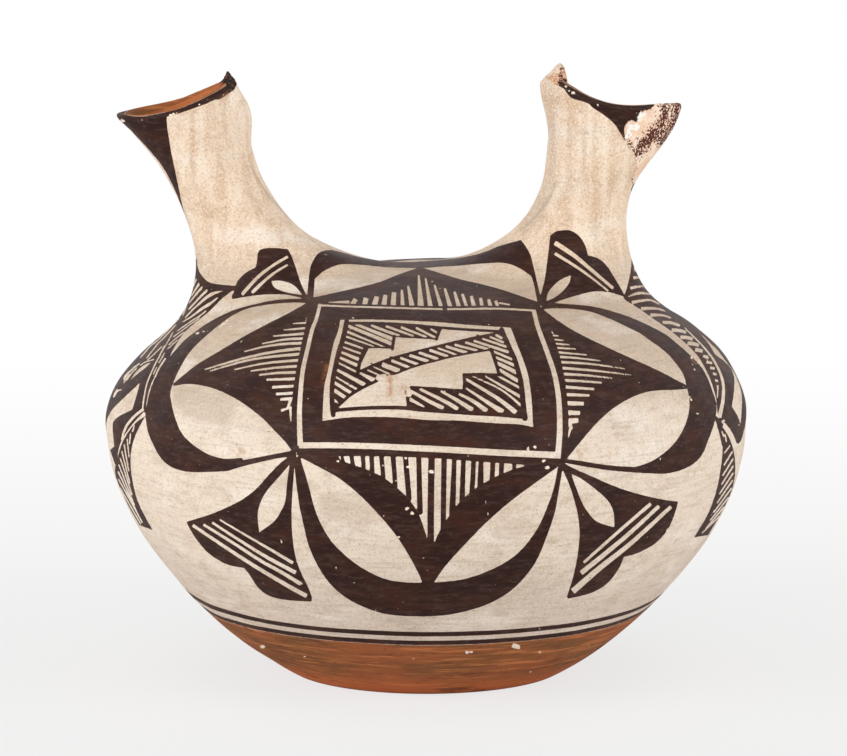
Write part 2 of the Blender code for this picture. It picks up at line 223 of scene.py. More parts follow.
@dataclass(frozen=True)
class SpoutForm:
    """The sizes of one spout; x runs from the jar's axis, heights run from the crest of the crown."""

    side: str
    sign: int
    foot_x: float
    foot_long: float
    waist_x: float
    waist_long: float
    lean: float
    waist_flare: float
    outer_reach: float
    inner_reach: float
    outer_lift: float
    inner_lift: float
    mouth_x: float
    mouth_long: float
    lip_pull: float
    lip_above: float
    front_above: float
    inner_above: float
    back_above: float
    lip_flare: float
    inner_flare: float
    foot_wide: float = 0.0330
    waist_above: float = 0.0305
    waist_wide: float = 0.0175
    mouth_wide: float = 0.0185
    wall: float = 0.0045
    foot_reach: float = 0.0225
    side_reach: float = 0.0120
    side_lift: float = 0.45
    rim_reach: float = 0.0100
    rim_coil: float = 0.0100
    rim_round: float = 0.0014
    rim_wall: float = 0.0034
    lip_roll: float = 0.0007
    lip_round: float = 0.35
    lip_thicker: float = 0.0
    lip_narrowness: int = 3
    side_flare: float = 0.12
    bore_samples: int = 81
    coil_samples: int = 121

    def plan(self, centre: float, long: Points | float, wide: float, azimuth: Points) -> Points:
        """A plan ellipse; azimuth 0 points away from the jar's axis."""
        x = centre + self.sign * long * np.cos(azimuth)
        return np.stack([x, wide * np.sin(azimuth)], axis=1)

    def foot(self, body: BodyForm, azimuth: Points, inwards: float = 0.0) -> Points:
        """The skirt's edge on the crown, or a curve a little way inside it."""
        long, wide = self.foot_long - inwards, self.foot_wide - inwards
        return body.top(self.plan(self.foot_x, long, wide, azimuth))

    def mouth(self, body: BodyForm, azimuth: Points) -> Points:
        """The rim's outer edge."""
        pull = self.lip_pull * np.maximum(0.0, np.cos(azimuth)) ** self.lip_narrowness
        plan = self.plan(self.mouth_x, self.mouth_long + pull, self.mouth_wide, azimuth)
        mean = (self.lip_above + self.front_above + self.inner_above + self.back_above) / 4
        lengthwise = (self.lip_above - self.inner_above) / 2
        crosswise = (self.back_above - self.front_above) / 2
        saddle = (self.lip_above + self.inner_above - self.front_above - self.back_above) / 4
        wave = lengthwise * np.cos(azimuth) + crosswise * np.sin(azimuth)
        height = body.crest() + mean + wave + saddle * np.cos(2 * azimuth)
        return np.column_stack([plan, height])

    def outer(self, body: BodyForm, azimuth: Points, t: Points) -> Points:
        """The outer wall: the crown is at t = 0, the waist at 1 and the rim at 2.

        Args:
            body: The body that the spout stands on.
            azimuth: One direction for each column.
            t: Curve parameters, one row for each row of points, one column for each direction.

        Returns:
            Points, as rows, columns and coordinates.
        """
        edge = self.foot(body, azimuth)
        direction = self.foot(body, azimuth, inwards=2 * MM) - edge
        direction /= np.linalg.norm(direction, axis=1, keepdims=True)
        outer_share, side_share = (1 + np.cos(azimuth)) / 2, np.sin(azimuth) ** 2
        direction[:, 2] += self.inner_lift + (self.outer_lift - self.inner_lift) * outer_share
        direction[:, 2] += self.side_lift * side_share
        direction /= np.linalg.norm(direction, axis=1, keepdims=True)
        reach = self.foot_reach + (self.side_reach - self.foot_reach) * side_share
        plan = self.plan(self.waist_x, self.waist_long, self.waist_wide, azimuth)
        waist = np.column_stack([plan, np.full(len(azimuth), body.crest() + self.waist_above)])
        angle = self.lean + self.waist_flare * np.cos(azimuth)
        rise = np.stack([self.sign * np.sin(angle), 0 * angle, np.cos(angle)], axis=1)
        waist_reach = self.inner_reach + (self.outer_reach - self.inner_reach) * outer_share
        mouth = self.mouth(body, azimuth)
        flare = self.inner_flare + (self.lip_flare - self.inner_flare) * outer_share**2
        aside = self.side_flare * np.sin(azimuth)
        run = np.stack([self.sign * np.sin(flare), aside, np.cos(flare)], axis=1)
        low, high = np.clip(t, 0, 1)[..., None], np.clip(t - 1, 0, 1)[..., None]
        first = edge + reach[:, None] * direction
        below = bezier(edge, first, waist - waist_reach[:, None] * rise, waist, low)
        above = bezier(waist, waist + self.rim_reach * rise, mouth - self.rim_reach * run, mouth, high)
        return np.where((t < 1)[..., None], below, above)

    def inner(self, body: BodyForm, azimuth: Points, t: Points) -> Points:
        """The bore's surface, a wall's thickness inside the outer one."""
        step = 0.01
        around = self.outer(body, azimuth + step, t) - self.outer(body, azimuth - step, t)
        ahead, behind = np.clip(t + step, 0, 2), np.clip(t - step, 0, 2)
        along = self.outer(body, azimuth, ahead) - self.outer(body, azimuth, behind)
        normal = self.sign * np.cross(around, along)
        normal /= np.linalg.norm(normal, axis=-1, keepdims=True)
        return self.outer(body, azimuth, t) - self.wall * normal

    def rim_walls(self, body: BodyForm, azimuth: Points, t: Points, share: Points) -> tuple[Points, Points]:
        """The two faces of the rim's coil, which thins towards its edge and rolls out at the lip.

        Args:
            body: The body that the spout stands on.
            azimuth: One direction for each column.
            t: Curve parameters, one row for each row of points.
            share: How far each row is up the coil, from 0 to 1.

        Returns:
            The outer and the inner points.
        """
        wall, lining = self.outer(body, azimuth, t), self.inner(body, azimuth, t)
        inwards = -np.stack([self.sign * np.cos(azimuth), np.sin(azimuth), 0 * azimuth], axis=1)
        rolled = self.lip_roll * np.maximum(0.0, np.cos(azimuth)) ** 2 * share**4
        wall = wall + rolled[..., None] * (wall - lining) / self.wall
        thin = (share * share * (3 - 2 * share))[..., None]
        thickness = self.rim_wall * (1 + self.lip_thicker * np.maximum(0.0, np.cos(azimuth)) ** 6)
        return wall, lining * (1 - thin) + (wall + thickness[:, None] * inwards) * thin

    def bore_start(self, body: BodyForm, azimuth: Points) -> Points:
        """The curve parameter at which the bore's surface meets the crown, for each direction."""
        t = np.repeat(np.linspace(0, 1, self.bore_samples)[:, None], len(azimuth), axis=1)
        points = self.inner(body, azimuth, t)
        flat = points.reshape(-1, 3)
        above = (flat[:, 2] - body.top(flat[:, :2])[:, 2]).reshape(t.shape)
        last = len(t) - 1 - np.argmax((above < 0)[::-1], axis=0)
        columns = np.arange(len(azimuth))
        low, high = above[last, columns], above[np.minimum(last + 1, len(t) - 1), columns]
        return t[last, 0] + t[1, 0] * -low / np.maximum(high - low, 1e-9)

    def coil_start(self, body: BodyForm, azimuth: Points) -> Points:
        """The curve parameter at which the rim coil begins, for each direction."""
        t = np.repeat(np.linspace(1, 2, self.coil_samples)[:, None], len(azimuth), axis=1)
        heights = self.outer(body, azimuth, t)[..., 2]
        wanted = heights[-1] - self.rim_coil
        return np.array([np.interp(w, h, t[:, 0]) for w, h in zip(wanted, heights.T)])


LEFT_SPOUT = SpoutForm(
    side="left",
    sign=-1,
    foot_x=-0.0560,
    foot_long=0.0420,
    waist_x=-0.0783,
    waist_long=0.0173,
    lean=math.radians(29.0),
    waist_flare=0.0,
    outer_reach=0.0215,
    inner_reach=0.0235,
    outer_lift=0.15,
    inner_lift=0.24,
    mouth_x=-0.0911,
    mouth_long=0.0194,
    lip_pull=0.0042,
    lip_above=0.0534,
    front_above=0.0568,
    inner_above=0.0667,
    back_above=0.0588,
    lip_flare=math.radians(48.0),
    inner_flare=math.radians(22.0),
    lip_roll=0.0,
    lip_round=1.5,
    lip_thicker=0.5,
)

RIGHT_SPOUT = SpoutForm(
    side="right",
    sign=1,
    foot_x=0.0469,
    foot_long=0.0459,
    foot_reach=0.0200,
    waist_x=0.0606,
    waist_long=0.0173,
    lean=math.radians(22.1),
    waist_flare=math.radians(6.1),
    outer_reach=0.0142,
    inner_reach=0.0190,
    outer_lift=0.0048,
    inner_lift=0.0,
    mouth_x=0.0665,
    mouth_long=0.0205,
    lip_pull=0.0072,
    lip_above=0.0575,
    front_above=0.0591,
    inner_above=0.0672,
    back_above=0.0566,
    lip_flare=math.radians(4.0),
    inner_flare=0.0,
)


# The painted pattern


class Act(Enum):
    """What a mark does: lays paint, or leaves the slip bare."""

    PAINT = "paint"
    RESERVE = "reserve"


@dataclass(frozen=True)
class Detail:
    """An enlarged part of the photograph, in which marks were read."""

    left: float
    top: float
    enlarged: float

    def place(self, points: Numbers) -> Points:
        """Pixel coordinates in the whole photograph of points read in this detail, as x and y in turn."""
        return np.reshape(points, (-1, 2)) / self.enlarged + (self.left, self.top)


# Each detail's upper left corner in the photograph, in pixels, and how much it was enlarged to be read
SQUARE = Detail(280, 290, 5.2267)
STEPS = Detail(325, 312, 13.0667)
LEFT_PETAL = Detail(90, 260, 6.5333)
RIGHT_PETAL = Detail(530, 260, 6.5333)
BOTTOM_PETAL = Detail(280, 440, 5.2267)
TOP_PETAL = Detail(220, 215, 3.92)
LEFT_SIDE = Detail(95, 255, 5.2267)
RIGHT_SIDE = Detail(610, 235, 4.9)
LOW_LEFT_FLOWER = Detail(170, 480, 9.8)
LOW_RIGHT_FLOWER = Detail(540, 430, 8.25)
LEFT_LIP = Detail(105, 55, 9.8)
RIGHT_LIP = Detail(530, 55, 9.8)
BOTTOM_COMB = Detail(320, 455, 8.0)
LEFT_HATCH = Detail(150, 250, 16.0)
LEFT_EDGE = Detail(105, 330, 20.0)
RIGHT_HATCH = Detail(615, 250, 16.0)
RIGHT_EDGE = Detail(685, 330, 16.0)
BASE = Detail(200, 590, 3.0)

# The farthest distance that is kept from a mark's edge, and the thinnest line that is left bare, in pixels
REACH = 12.0
THINNEST = 1.1


def curve(points: Points, parts: int = 6) -> Points:
    """A smooth line through points.

    Args:
        points: The points to pass through, in order.
        parts: How many straight parts to draw between two of them.

    Returns:
        The points of the smooth line; two points stay a straight line.
    """
    if len(points) < 3:
        return points
    padded = np.concatenate([[2 * points[0] - points[1]], points, [2 * points[-1] - points[-2]]])
    t = np.linspace(0, 1, parts, endpoint=False)[:, None]
    found = []
    for a, b, c, d in zip(padded, padded[1:], padded[2:], padded[3:]):
        bend = 2 * b + (c - a) * t + (2 * a - 5 * b + 4 * c - d) * t**2
        found.append((bend + (3 * b - a - 3 * c + d) * t**3) / 2)
    return np.concatenate([*found, points[-1:]])


def line_distance(places: Points, starts: Points, ends: Points, wide: Points, wide_end: Points) -> Points:
    """Signed distance from places to a brush line of short tapering segments.

    Args:
        places: Where to measure, in pixels.
        starts, ends: The segments' ends.
        wide, wide_end: The brush's width at those ends.

    Returns:
        Distances up to REACH, negative inside the line.
    """
    found = np.full(len(places), REACH)
    for a, b, wide_a, wide_b in zip(starts, ends, wide, wide_end):
        along = b - a
        if not along.any():
            continue
        low, high = np.minimum(a, b) - REACH, np.maximum(a, b) + REACH
        near = np.flatnonzero(((places > low) & (places < high)).all(axis=1))
        away = places[near] - a
        share = np.clip(away @ along / float(along @ along), 0.0, 1.0)
        nearest = np.hypot(away[:, 0] - share * along[0], away[:, 1] - share * along[1])
        nearest -= (wide_a + (wide_b - wide_a) * share) / 2
        found[near] = np.minimum(found[near], nearest)
    return found


@dataclass(frozen=True)
class Stroke:
    """A line drawn with a brush, with its width at its start and its end."""

    detail: Detail
    points: Numbers
    start_wide: float
    end_wide: float
    act: Act = Act.PAINT

    def outline(self) -> Points:
        """The stroke's middle line in the photograph."""
        return curve(self.detail.place(self.points))

    def distance(self, places: Points) -> Points:
        """Signed distance from places to the stroke's edge, in pixels."""
        line = self.outline()
        widths = np.linspace(self.start_wide, self.end_wide, len(line)) / self.detail.enlarged
        return line_distance(places, line, line[1:], widths, widths[1:])


@dataclass(frozen=True)
class Patch:
    """A filled shape, whose sides are smooth lines that meet at corners."""

    detail: Detail
    sides: Sequence[Numbers]
    act: Act = Act.PAINT

    def outline(self) -> Points:
        """The shape's outline in the photograph."""
        return np.concatenate([curve(self.detail.place(side)) for side in self.sides])

    def distance(self, places: Points) -> Points:
        """Signed distance from places to the shape's edge, in pixels; it is negative inside."""
        line = self.outline()
        following = np.roll(line, -1, axis=0)
        widths = np.zeros(len(line))
        found = line_distance(places, line, following, widths, widths)
        inside = np.zeros(len(places), bool)
        x, y = places[:, 0], places[:, 1]
        for a, b in zip(line, following):
            if a[1] != b[1]:
                crosses = (a[1] > y) != (b[1] > y)
                inside ^= crosses & (x < (b[0] - a[0]) * (y - a[1]) / (b[1] - a[1]) + a[0])
        return np.where(inside, -found, found)


Mark = Stroke | Patch


def gaps(
    detail: Detail,
    lines: Iterable[Numbers],
    start: float = 0.0,
    end: float = 0.0,
    fuller: float = 1.1,
    blunter: float = 0.0,
) -> list[Mark]:
    """Bare lines left between painted strokes, with square ends.

    Args:
        detail: Where the lines were read.
        lines: Each line's points, as x and y in turn, and its width at its start and its end.
        start, end: How far the lines run on at their ends.
        fuller: How much wider the lines are than they were read.
        blunter: How much wider their far ends are.

    Returns:
        One reserving patch for each line.
    """
    made = []
    for *numbers, wide_a, wide_b in lines:
        points = np.array(numbers, float).reshape(-1, 2)
        first, last = points[0] - points[1], points[-1] - points[-2]
        points[0] += start * first / np.hypot(*first)
        points[-1] += end * last / np.hypot(*last)
        along = np.gradient(points, axis=0)
        along /= np.linalg.norm(along, axis=1, keepdims=True)
        wide = np.linspace(wide_a, wide_b + blunter, len(points))
        wide = fuller * np.maximum(wide, THINNEST * detail.enlarged)
        aside = wide[:, None] / 2 * np.stack([-along[:, 1], along[:, 0]], axis=1)
        made.append(Patch(detail, (points + aside, (points - aside)[::-1]), Act.RESERVE))
    return made


def strokes(detail: Detail, lines: Iterable[Numbers], act: Act = Act.PAINT) -> list[Mark]:
    """Strokes, each given as x and y in turn and then its width at its start and its end."""
    return [Stroke(detail, points, wide_a, wide_b, act) for *points, wide_a, wide_b in lines]


def square_motif() -> list[Mark]:
    """The framed square in the middle of the medallion."""
    ground = Patch(SQUARE, (
        (150, 62, 500, 76, 850, 84, 1100, 82, 1375, 90),
        (1375, 90, 1412, 200, 1455, 320, 1485, 450, 1502, 580, 1508, 700, 1500, 905),
        (1500, 905, 1300, 914, 1150, 904, 1000, 894, 850, 881, 700, 872, 350, 864, 70, 842),
        (70, 842, 60, 700, 65, 560, 83, 430, 108, 300, 135, 180, 150, 62),
    ))
    outer_line = gaps(SQUARE, (
        (205, 80, 350, 86, 520, 91, 700, 96, 846, 100, 9, 9),
        (880, 100, 1000, 99, 1080, 97, 1200, 100, 1320, 107, 9, 10),
        (208, 80, 190, 150, 167, 212, 142, 316, 119, 421, 108, 525, 102, 630, 103, 734, 106, 806, 17, 28),
        (108, 812, 300, 812, 500, 817, 700, 826, 900, 836, 1150, 850, 1400, 861, 1460, 864, 30, 34),
        (1328, 112, 1347, 190, 1376, 270, 1405, 350, 1432, 430, 1449, 510, 1459, 600, 1462, 700,
         1460, 780, 1452, 864, 22, 30),
    ), start=8, end=8, fuller=1.0)
    field_edge = Patch(STEPS, (
        (200, 103, 700, 100, 1437, 131, 1872, 168, 2427, 205),
        (2427, 205, 2502, 400, 2587, 620, 2652, 820, 2682, 1000, 2702, 1180, 2720, 1505),
        (2720, 1505, 2552, 1470, 2172, 1450, 1772, 1420, 1372, 1412, 900, 1375, 350, 1375, -33, 1423),
        (-33, 1423, -25, 1200, -5, 950, 30, 800, 72, 600, 115, 400, 170, 250, 200, 103),
    ), Act.RESERVE)
    inner_frame = strokes(STEPS, (
        (283, 125, 240, 330, 178, 530, 128, 750, 100, 900, 90, 1050, 95, 1250, 108, 1345, 64, 62),
        (290, 147, 700, 148, 1100, 168, 1437, 198, 1772, 225, 2300, 255, 38, 36),
        (2307, 225, 2357, 340, 2417, 480, 2480, 620, 2522, 760, 2557, 900, 2577, 1050, 2590, 1200,
         2600, 1300, 2612, 1385, 56, 76),
        (130, 1285, 400, 1262, 700, 1250, 1000, 1252, 1200, 1272, 1437, 1290, 1672, 1305, 1972, 1325,
         2272, 1340, 2612, 1372, 48, 58),
    ))
    hatched = Patch(STEPS, (
        (283, 140, 700, 148, 1100, 168, 1437, 198, 1522, 210),
        (1522, 210, 1462, 355),
        (1462, 355, 925, 322),
        (925, 322, 880, 480),
        (880, 480, 548, 466),
        (548, 466, 500, 560, 455, 660, 430, 795),
        (430, 795, 640, 690, 880, 600, 1120, 535, 1437, 455, 1722, 385, 1992, 325, 2262, 270, 2320, 248),
        (2320, 248, 2417, 480, 2522, 760, 2577, 1050, 2600, 1350),
        (2600, 1350, 1972, 1325, 1437, 1290, 1095, 1260),
        (1095, 1260, 1080, 975),
        (1080, 975, 1437, 985, 1572, 1005, 1815, 1022),
        (1815, 1022, 1815, 815),
        (1815, 815, 2277, 822),
        (2277, 822, 2172, 490),
        (2172, 490, 1872, 540, 1622, 590, 1372, 655, 1100, 735, 930, 800, 690, 890),
        (690, 890, 500, 985, 330, 1085, 140, 1255),
        (140, 1255, 90, 1050, 128, 750, 240, 330, 283, 140),
    ))
    hatch_gaps = gaps(STEPS, (
        (415, 165, 868, 347, 26, 40), (620, 182, 955, 308, 24, 32), (815, 192, 1140, 308, 26, 20),
        (1010, 205, 1310, 322, 26, 20), (1205, 215, 1437, 332, 24, 24), (1395, 228, 1450, 262, 18, 22),
        (318, 190, 862, 412, 30, 38), (303, 262, 770, 456, 28, 14), (288, 325, 620, 444, 22, 10),
        (265, 395, 480, 472, 24, 18), (245, 462, 450, 538, 18, 22), (225, 530, 425, 612, 24, 36),
        (207, 602, 403, 690, 26, 36), (190, 672, 395, 775, 18, 24), (168, 762, 525, 955, 26, 44),
        (150, 855, 425, 1015, 18, 26), (135, 930, 335, 1055, 32, 34), (132, 1030, 255, 1112, 40, 36),
        (130, 1160, 165, 1185, 30, 10), (465, 800, 625, 885, 18, 52), (565, 762, 715, 828, 16, 16),
        (645, 722, 832, 806, 14, 18), (765, 692, 955, 765, 48, 48), (885, 640, 1090, 722, 28, 28),
        (1000, 605, 1225, 690, 24, 30), (1120, 570, 1335, 640, 30, 34), (1240, 535, 1465, 612, 28, 32),
        (1382, 503, 1610, 582, 28, 30), (1492, 478, 1712, 557, 18, 22), (1597, 455, 1840, 528, 26, 32),
        (1712, 432, 1985, 503, 24, 26), (1850, 402, 2130, 488, 24, 30), (1962, 382, 2385, 520, 22, 30),
        (2072, 354, 2355, 450, 22, 24), (2172, 332, 2320, 392, 20, 24), (2245, 305, 2300, 335, 22, 28),
        (2212, 520, 2430, 612, 22, 26), (2232, 592, 2460, 690, 24, 30), (2262, 672, 2485, 782, 36, 42),
        (2295, 765, 2512, 895, 34, 40), (2275, 845, 2525, 980, 22, 26), (2110, 848, 2540, 1100, 18, 32),
        (1942, 845, 2300, 1015, 2560, 1220, 12, 26), (1848, 880, 2250, 1125, 2480, 1303, 26, 50),
        (1858, 1005, 2130, 1185, 2310, 1298, 18, 58), (1765, 1078, 1935, 1165, 2100, 1283, 24, 50),
        (1530, 1042, 1720, 1150, 1915, 1272, 22, 50), (1255, 1015, 1560, 1165, 1720, 1260, 28, 44),
        (1115, 1030, 1350, 1160, 1530, 1252, 30, 42), (1120, 1145, 1290, 1236, 40, 12),
    ), start=20, end=20, fuller=1.25)
    redrawn = [
        *strokes(STEPS, (
            (1507, 215, 1475, 300, 1455, 355, 42, 42), (1462, 350, 1200, 335, 925, 320, 22, 20),
            (905, 318, 892, 400, 880, 482, 42, 44), (885, 472, 700, 462, 548, 466, 22, 20),
            (545, 466, 500, 560, 455, 660, 428, 800, 55, 46),
            (425, 790, 640, 690, 880, 600, 1120, 535, 1437, 455, 1722, 385, 1992, 325, 2262, 272,
             2320, 250, 32, 26),
            (140, 1255, 330, 1085, 500, 985, 690, 892, 44, 38),
            (860, 815, 935, 800, 1100, 735, 1300, 672, 1437, 640, 1622, 590, 1872, 540, 2160, 492,
             28, 28),
            (2172, 488, 2223, 640, 2277, 822, 48, 42), (2280, 822, 2022, 810, 1812, 815, 34, 30),
            (1815, 818, 1822, 920, 1815, 1022, 42, 40),
            (1815, 1022, 1572, 1005, 1372, 988, 1120, 974, 24, 20), (1078, 1105, 1092, 1250, 48, 46),
            (600, 668, 640, 690, 18, 22), (855, 585, 900, 605, 20, 22), (1110, 525, 1150, 540, 16, 18),
            (1985, 300, 2050, 330, 20, 22),
        )),
        Stroke(SQUARE, (862, 86, 862, 112), 24, 24),
    ]
    chips = [
        *strokes(STEPS, (
            (700, 862, 770, 850, 70, 80), (1078, 1020, 1092, 1062, 84, 96),
        ), Act.RESERVE),
        Stroke(STEPS, (1054, 1030, 1050, 1055), 20, 16),
    ]
    return [ground, *outer_line, field_edge, hatched, *hatch_gaps, *inner_frame, *redrawn, *chips]


def left_petal() -> list[Mark]:
    """The petal on the left of the square."""
    crescent = Patch(LEFT_PETAL, (
        (1430, 250, 1250, 258, 1100, 283, 933, 330, 798, 395, 697, 461, 616, 526, 556, 591, 502, 657,
         457, 722, 417, 787, 397, 853, 378, 918, 363, 996, 366, 1050, 378, 1120, 410, 1200, 460, 1290,
         530, 1352, 640, 1384, 780, 1385, 895, 1380),
        (895, 1380, 1000, 1348, 1150, 1312, 1250, 1292, 1345, 1285),
        (1345, 1240, 1220, 1265, 1100, 1288, 1000, 1307),
        (1000, 1307, 985, 1294, 880, 1298, 780, 1272, 680, 1212, 600, 1132, 556, 1030, 532, 930,
         525, 870, 545, 800, 590, 702, 650, 605, 740, 512, 860, 412, 950, 352, 1050, 312, 1200, 287,
         1330, 278, 1430, 282),
    ))
    arms = Patch(LEFT_PETAL, (
        (545, 806, 620, 745, 700, 682, 850, 592, 1000, 502, 1150, 422, 1300, 345, 1425, 275),
        (1425, 275, 1470, 300, 1430, 500, 1380, 700, 1365, 900, 1370, 1200, 1345, 1255),
        (1318, 1245, 1267, 1179, 1204, 1114, 1143, 1049, 1064, 983, 972, 918, 855, 858, 750, 824,
         640, 810, 545, 824),
    ))
    comb = gaps(LEFT_PETAL, (
        (1440, 333, 1424, 374, 5, 13), (1405, 411, 1352, 414, 13, 3), (1395, 446, 1292, 455, 14, 3),
        (1390, 482, 1225, 495, 16, 4), (1380, 514, 1270, 520, 1150, 542, 16, 4),
        (1372, 543, 1250, 550, 1130, 568, 1035, 592, 17, 4),
        (1362, 580, 1200, 600, 1030, 635, 900, 670, 775, 708, 18, 4),
        (1352, 616, 1200, 630, 1050, 652, 920, 685, 810, 718, 17, 4),
        (1345, 656, 1200, 668, 1080, 686, 965, 712, 16, 4), (1338, 695, 1200, 705, 1075, 722, 16, 5),
        (1333, 735, 1230, 738, 1132, 748, 17, 7), (1328, 777, 1180, 782, 17, 9),
        (1323, 824, 1218, 830, 17, 11), (1320, 870, 1243, 874, 17, 11), (1316, 906, 1270, 909, 18, 12),
        (1310, 915, 1300, 945, 22, 8), (1318, 962, 1274, 976, 7, 12), (1312, 975, 1312, 1026, 22, 3),
    ), start=18, end=28, blunter=4)
    return [crescent, arms, *comb]


def right_petal() -> list[Mark]:
    """The petal on the right of the square."""
    crescent = Patch(RIGHT_PETAL, (
        (80, 278, 150, 280, 250, 288, 400, 302, 520, 330, 650, 372, 780, 430, 880, 482, 960, 545,
         1040, 615, 1112, 690, 1160, 770, 1190, 850, 1215, 930, 1215, 1010, 1197, 1090, 1160, 1190,
         1130, 1262, 1080, 1322, 1000, 1368, 900, 1394, 800, 1395, 650, 1386, 500, 1372, 350, 1348,
         225, 1325),
        (225, 1298, 330, 1312, 450, 1332, 570, 1346, 690, 1352),
        (690, 1352, 800, 1312, 900, 1240, 970, 1160, 1020, 1060, 1042, 960, 1036, 880, 1022, 825,
         1008, 765, 980, 713, 915, 630, 849, 572, 784, 526, 719, 480, 653, 447, 588, 415, 520, 384,
         400, 340, 280, 320, 150, 317, 80, 322),
    ))
    arms = Patch(RIGHT_PETAL, (
        (80, 318, 200, 408, 320, 480, 500, 568, 680, 650, 850, 728, 1025, 820),
        (1025, 842, 950, 848, 850, 852, 750, 866, 640, 910, 530, 980, 440, 1062, 370, 1140, 300, 1225,
         240, 1300),
        (205, 1310, 215, 1100, 190, 800, 140, 560, 60, 330),
    ))
    comb = gaps(RIGHT_PETAL, (
        (113, 440, 134, 466, 4, 13), (125, 490, 165, 494, 13, 3), (137, 517, 200, 524, 13, 3),
        (150, 545, 238, 552, 14, 3), (163, 573, 278, 580, 14, 3), (175, 603, 350, 618, 15, 3),
        (185, 632, 300, 640, 440, 656, 16, 3), (200, 667, 400, 680, 600, 708, 16, 3),
        (212, 706, 430, 724, 650, 750, 17, 3), (225, 745, 380, 755, 515, 770, 17, 4),
        (230, 786, 340, 792, 445, 800, 18, 7), (238, 830, 395, 842, 19, 9), (243, 880, 365, 884, 20, 9),
        (248, 936, 328, 938, 26, 18), (250, 997, 303, 999, 28, 20), (254, 1053, 292, 1050, 34, 24),
        (258, 1070, 264, 1085, 26, 14), (262, 1110, 252, 1145, 16, 4),
    ), start=14, end=24, blunter=4)
    return [crescent, arms, *comb]


def bottom_petal() -> list[Mark]:
    """The petal under the square."""
    crescent = Patch(BOTTOM_PETAL, (
        (70, 90, 82, 200, 99, 330, 124, 450, 149, 550, 193, 650, 252, 740, 325, 810, 420, 865, 545, 908,
         700, 922, 850, 917, 980, 893, 1100, 852, 1200, 793, 1282, 714, 1345, 622, 1396, 500, 1436, 380,
         1460, 250, 1480, 130),
        (1455, 130, 1431, 250, 1397, 350, 1352, 450, 1281, 552, 1193, 630, 1070, 692, 955, 728, 850, 741,
         740, 746, 640, 742, 556, 728, 466, 690, 376, 632, 282, 545, 226, 462, 182, 360, 150, 240,
         105, 90),
    ))
    arms = Patch(BOTTOM_PETAL, (
        (95, 84, 200, 140, 300, 195, 396, 270, 491, 363, 593, 481, 662, 585, 720, 690, 745, 750),
        (800, 750, 870, 652, 970, 542, 1080, 430, 1200, 325, 1320, 235, 1450, 142),
        (1478, 105, 1200, 100, 850, 80, 500, 60, 80, 50),
    ))
    between = Patch(BOTTOM_COMB, (
        (75, 10, 500, 10, 1000, 30, 1300, 50, 1695, 75),
        (1695, 75, 1560, 110, 1440, 158, 1330, 215, 1240, 270, 1160, 337, 1080, 420, 1010, 522, 950, 622,
         912, 712),
        (912, 712, 858, 672),
        (858, 672, 820, 550, 780, 455, 720, 365, 630, 275, 530, 195, 430, 140, 330, 100, 200, 56, 75, 10),
    ), Act.RESERVE)
    comb = strokes(BOTTOM_COMB, (
        (120, 0, 150, 60, 40, 40), (172, 0, 190, 60, 24, 24), (250, 0, 265, 80, 34, 32),
        (342, 0, 350, 120, 36, 34), (412, 0, 418, 140, 38, 36), (490, 0, 508, 190, 38, 34),
        (585, 10, 603, 250, 40, 36), (683, 10, 712, 350, 42, 44), (790, 10, 800, 455, 40, 46),
        (893, 10, 887, 350, 885, 720, 52, 54), (993, 20, 985, 600, 44, 42), (1075, 20, 1058, 480, 36, 52),
        (1148, 30, 1135, 400, 38, 44), (1230, 30, 1215, 320, 38, 42), (1288, 40, 1283, 280, 38, 54),
        (1384, 40, 1375, 220, 38, 40), (1453, 50, 1450, 180, 38, 40), (1553, 60, 1555, 140, 32, 34),
    ))
    return [crescent, arms, between, *comb]


def top_petal() -> list[Mark]:
    """The petal over the square, whose band runs along the crest between the spouts."""
    band = Patch(TOP_PETAL, (
        (340, 330, 350, 230, 360, 190, 386, 150, 425, 137, 465, 143, 551, 166, 629, 179, 708, 184,
         786, 182, 864, 176, 943, 167, 1021, 150, 1100, 120, 1180, 97),
        (1180, 97, 1214, 150, 1233, 220, 1249, 290, 1266, 350),
        (1245, 345, 1224, 250, 1203, 228, 1178, 211, 1140, 194, 1100, 187, 1021, 191, 943, 198, 864, 203,
         786, 208, 708, 207, 629, 203, 551, 195, 472, 194, 412, 217, 372, 250),
        (372, 250, 365, 330),
    ))
    arms = Patch(TOP_PETAL, (
        (345, 328, 472, 300, 551, 282, 629, 261, 708, 230, 785, 204),
        (785, 204, 864, 228, 943, 252, 1021, 270, 1100, 291, 1178, 317, 1255, 344),
        (1255, 362, 850, 362, 345, 348),
    ))
    comb = gaps(TOP_PETAL, (
        (435, 343, 503, 341, 3, 8), (523, 345, 530, 333, 17, 13), (568, 347, 572, 329, 17, 15),
        (607, 349, 614, 323, 21, 13), (643, 351, 648, 317, 19, 11), (679, 352, 682, 307, 19, 13),
        (716, 352, 713, 297, 15, 5), (752, 353, 738, 281, 19, 4), (787, 352, 779, 240, 23, 3),
        (824, 353, 806, 250, 17, 3), (864, 351, 842, 278, 14, 4), (900, 352, 882, 291, 16, 5),
        (935, 354, 920, 304, 16, 5), (965, 355, 951, 313, 12, 6), (995, 356, 986, 321, 16, 7),
        (1027, 357, 1022, 329, 14, 7), (1060, 358, 1054, 334, 16, 7), (1088, 358, 1082, 339, 12, 7),
        (1102, 346, 1133, 351, 7, 3),
    ), start=9, end=4, blunter=3)
    return [band, arms, *comb]


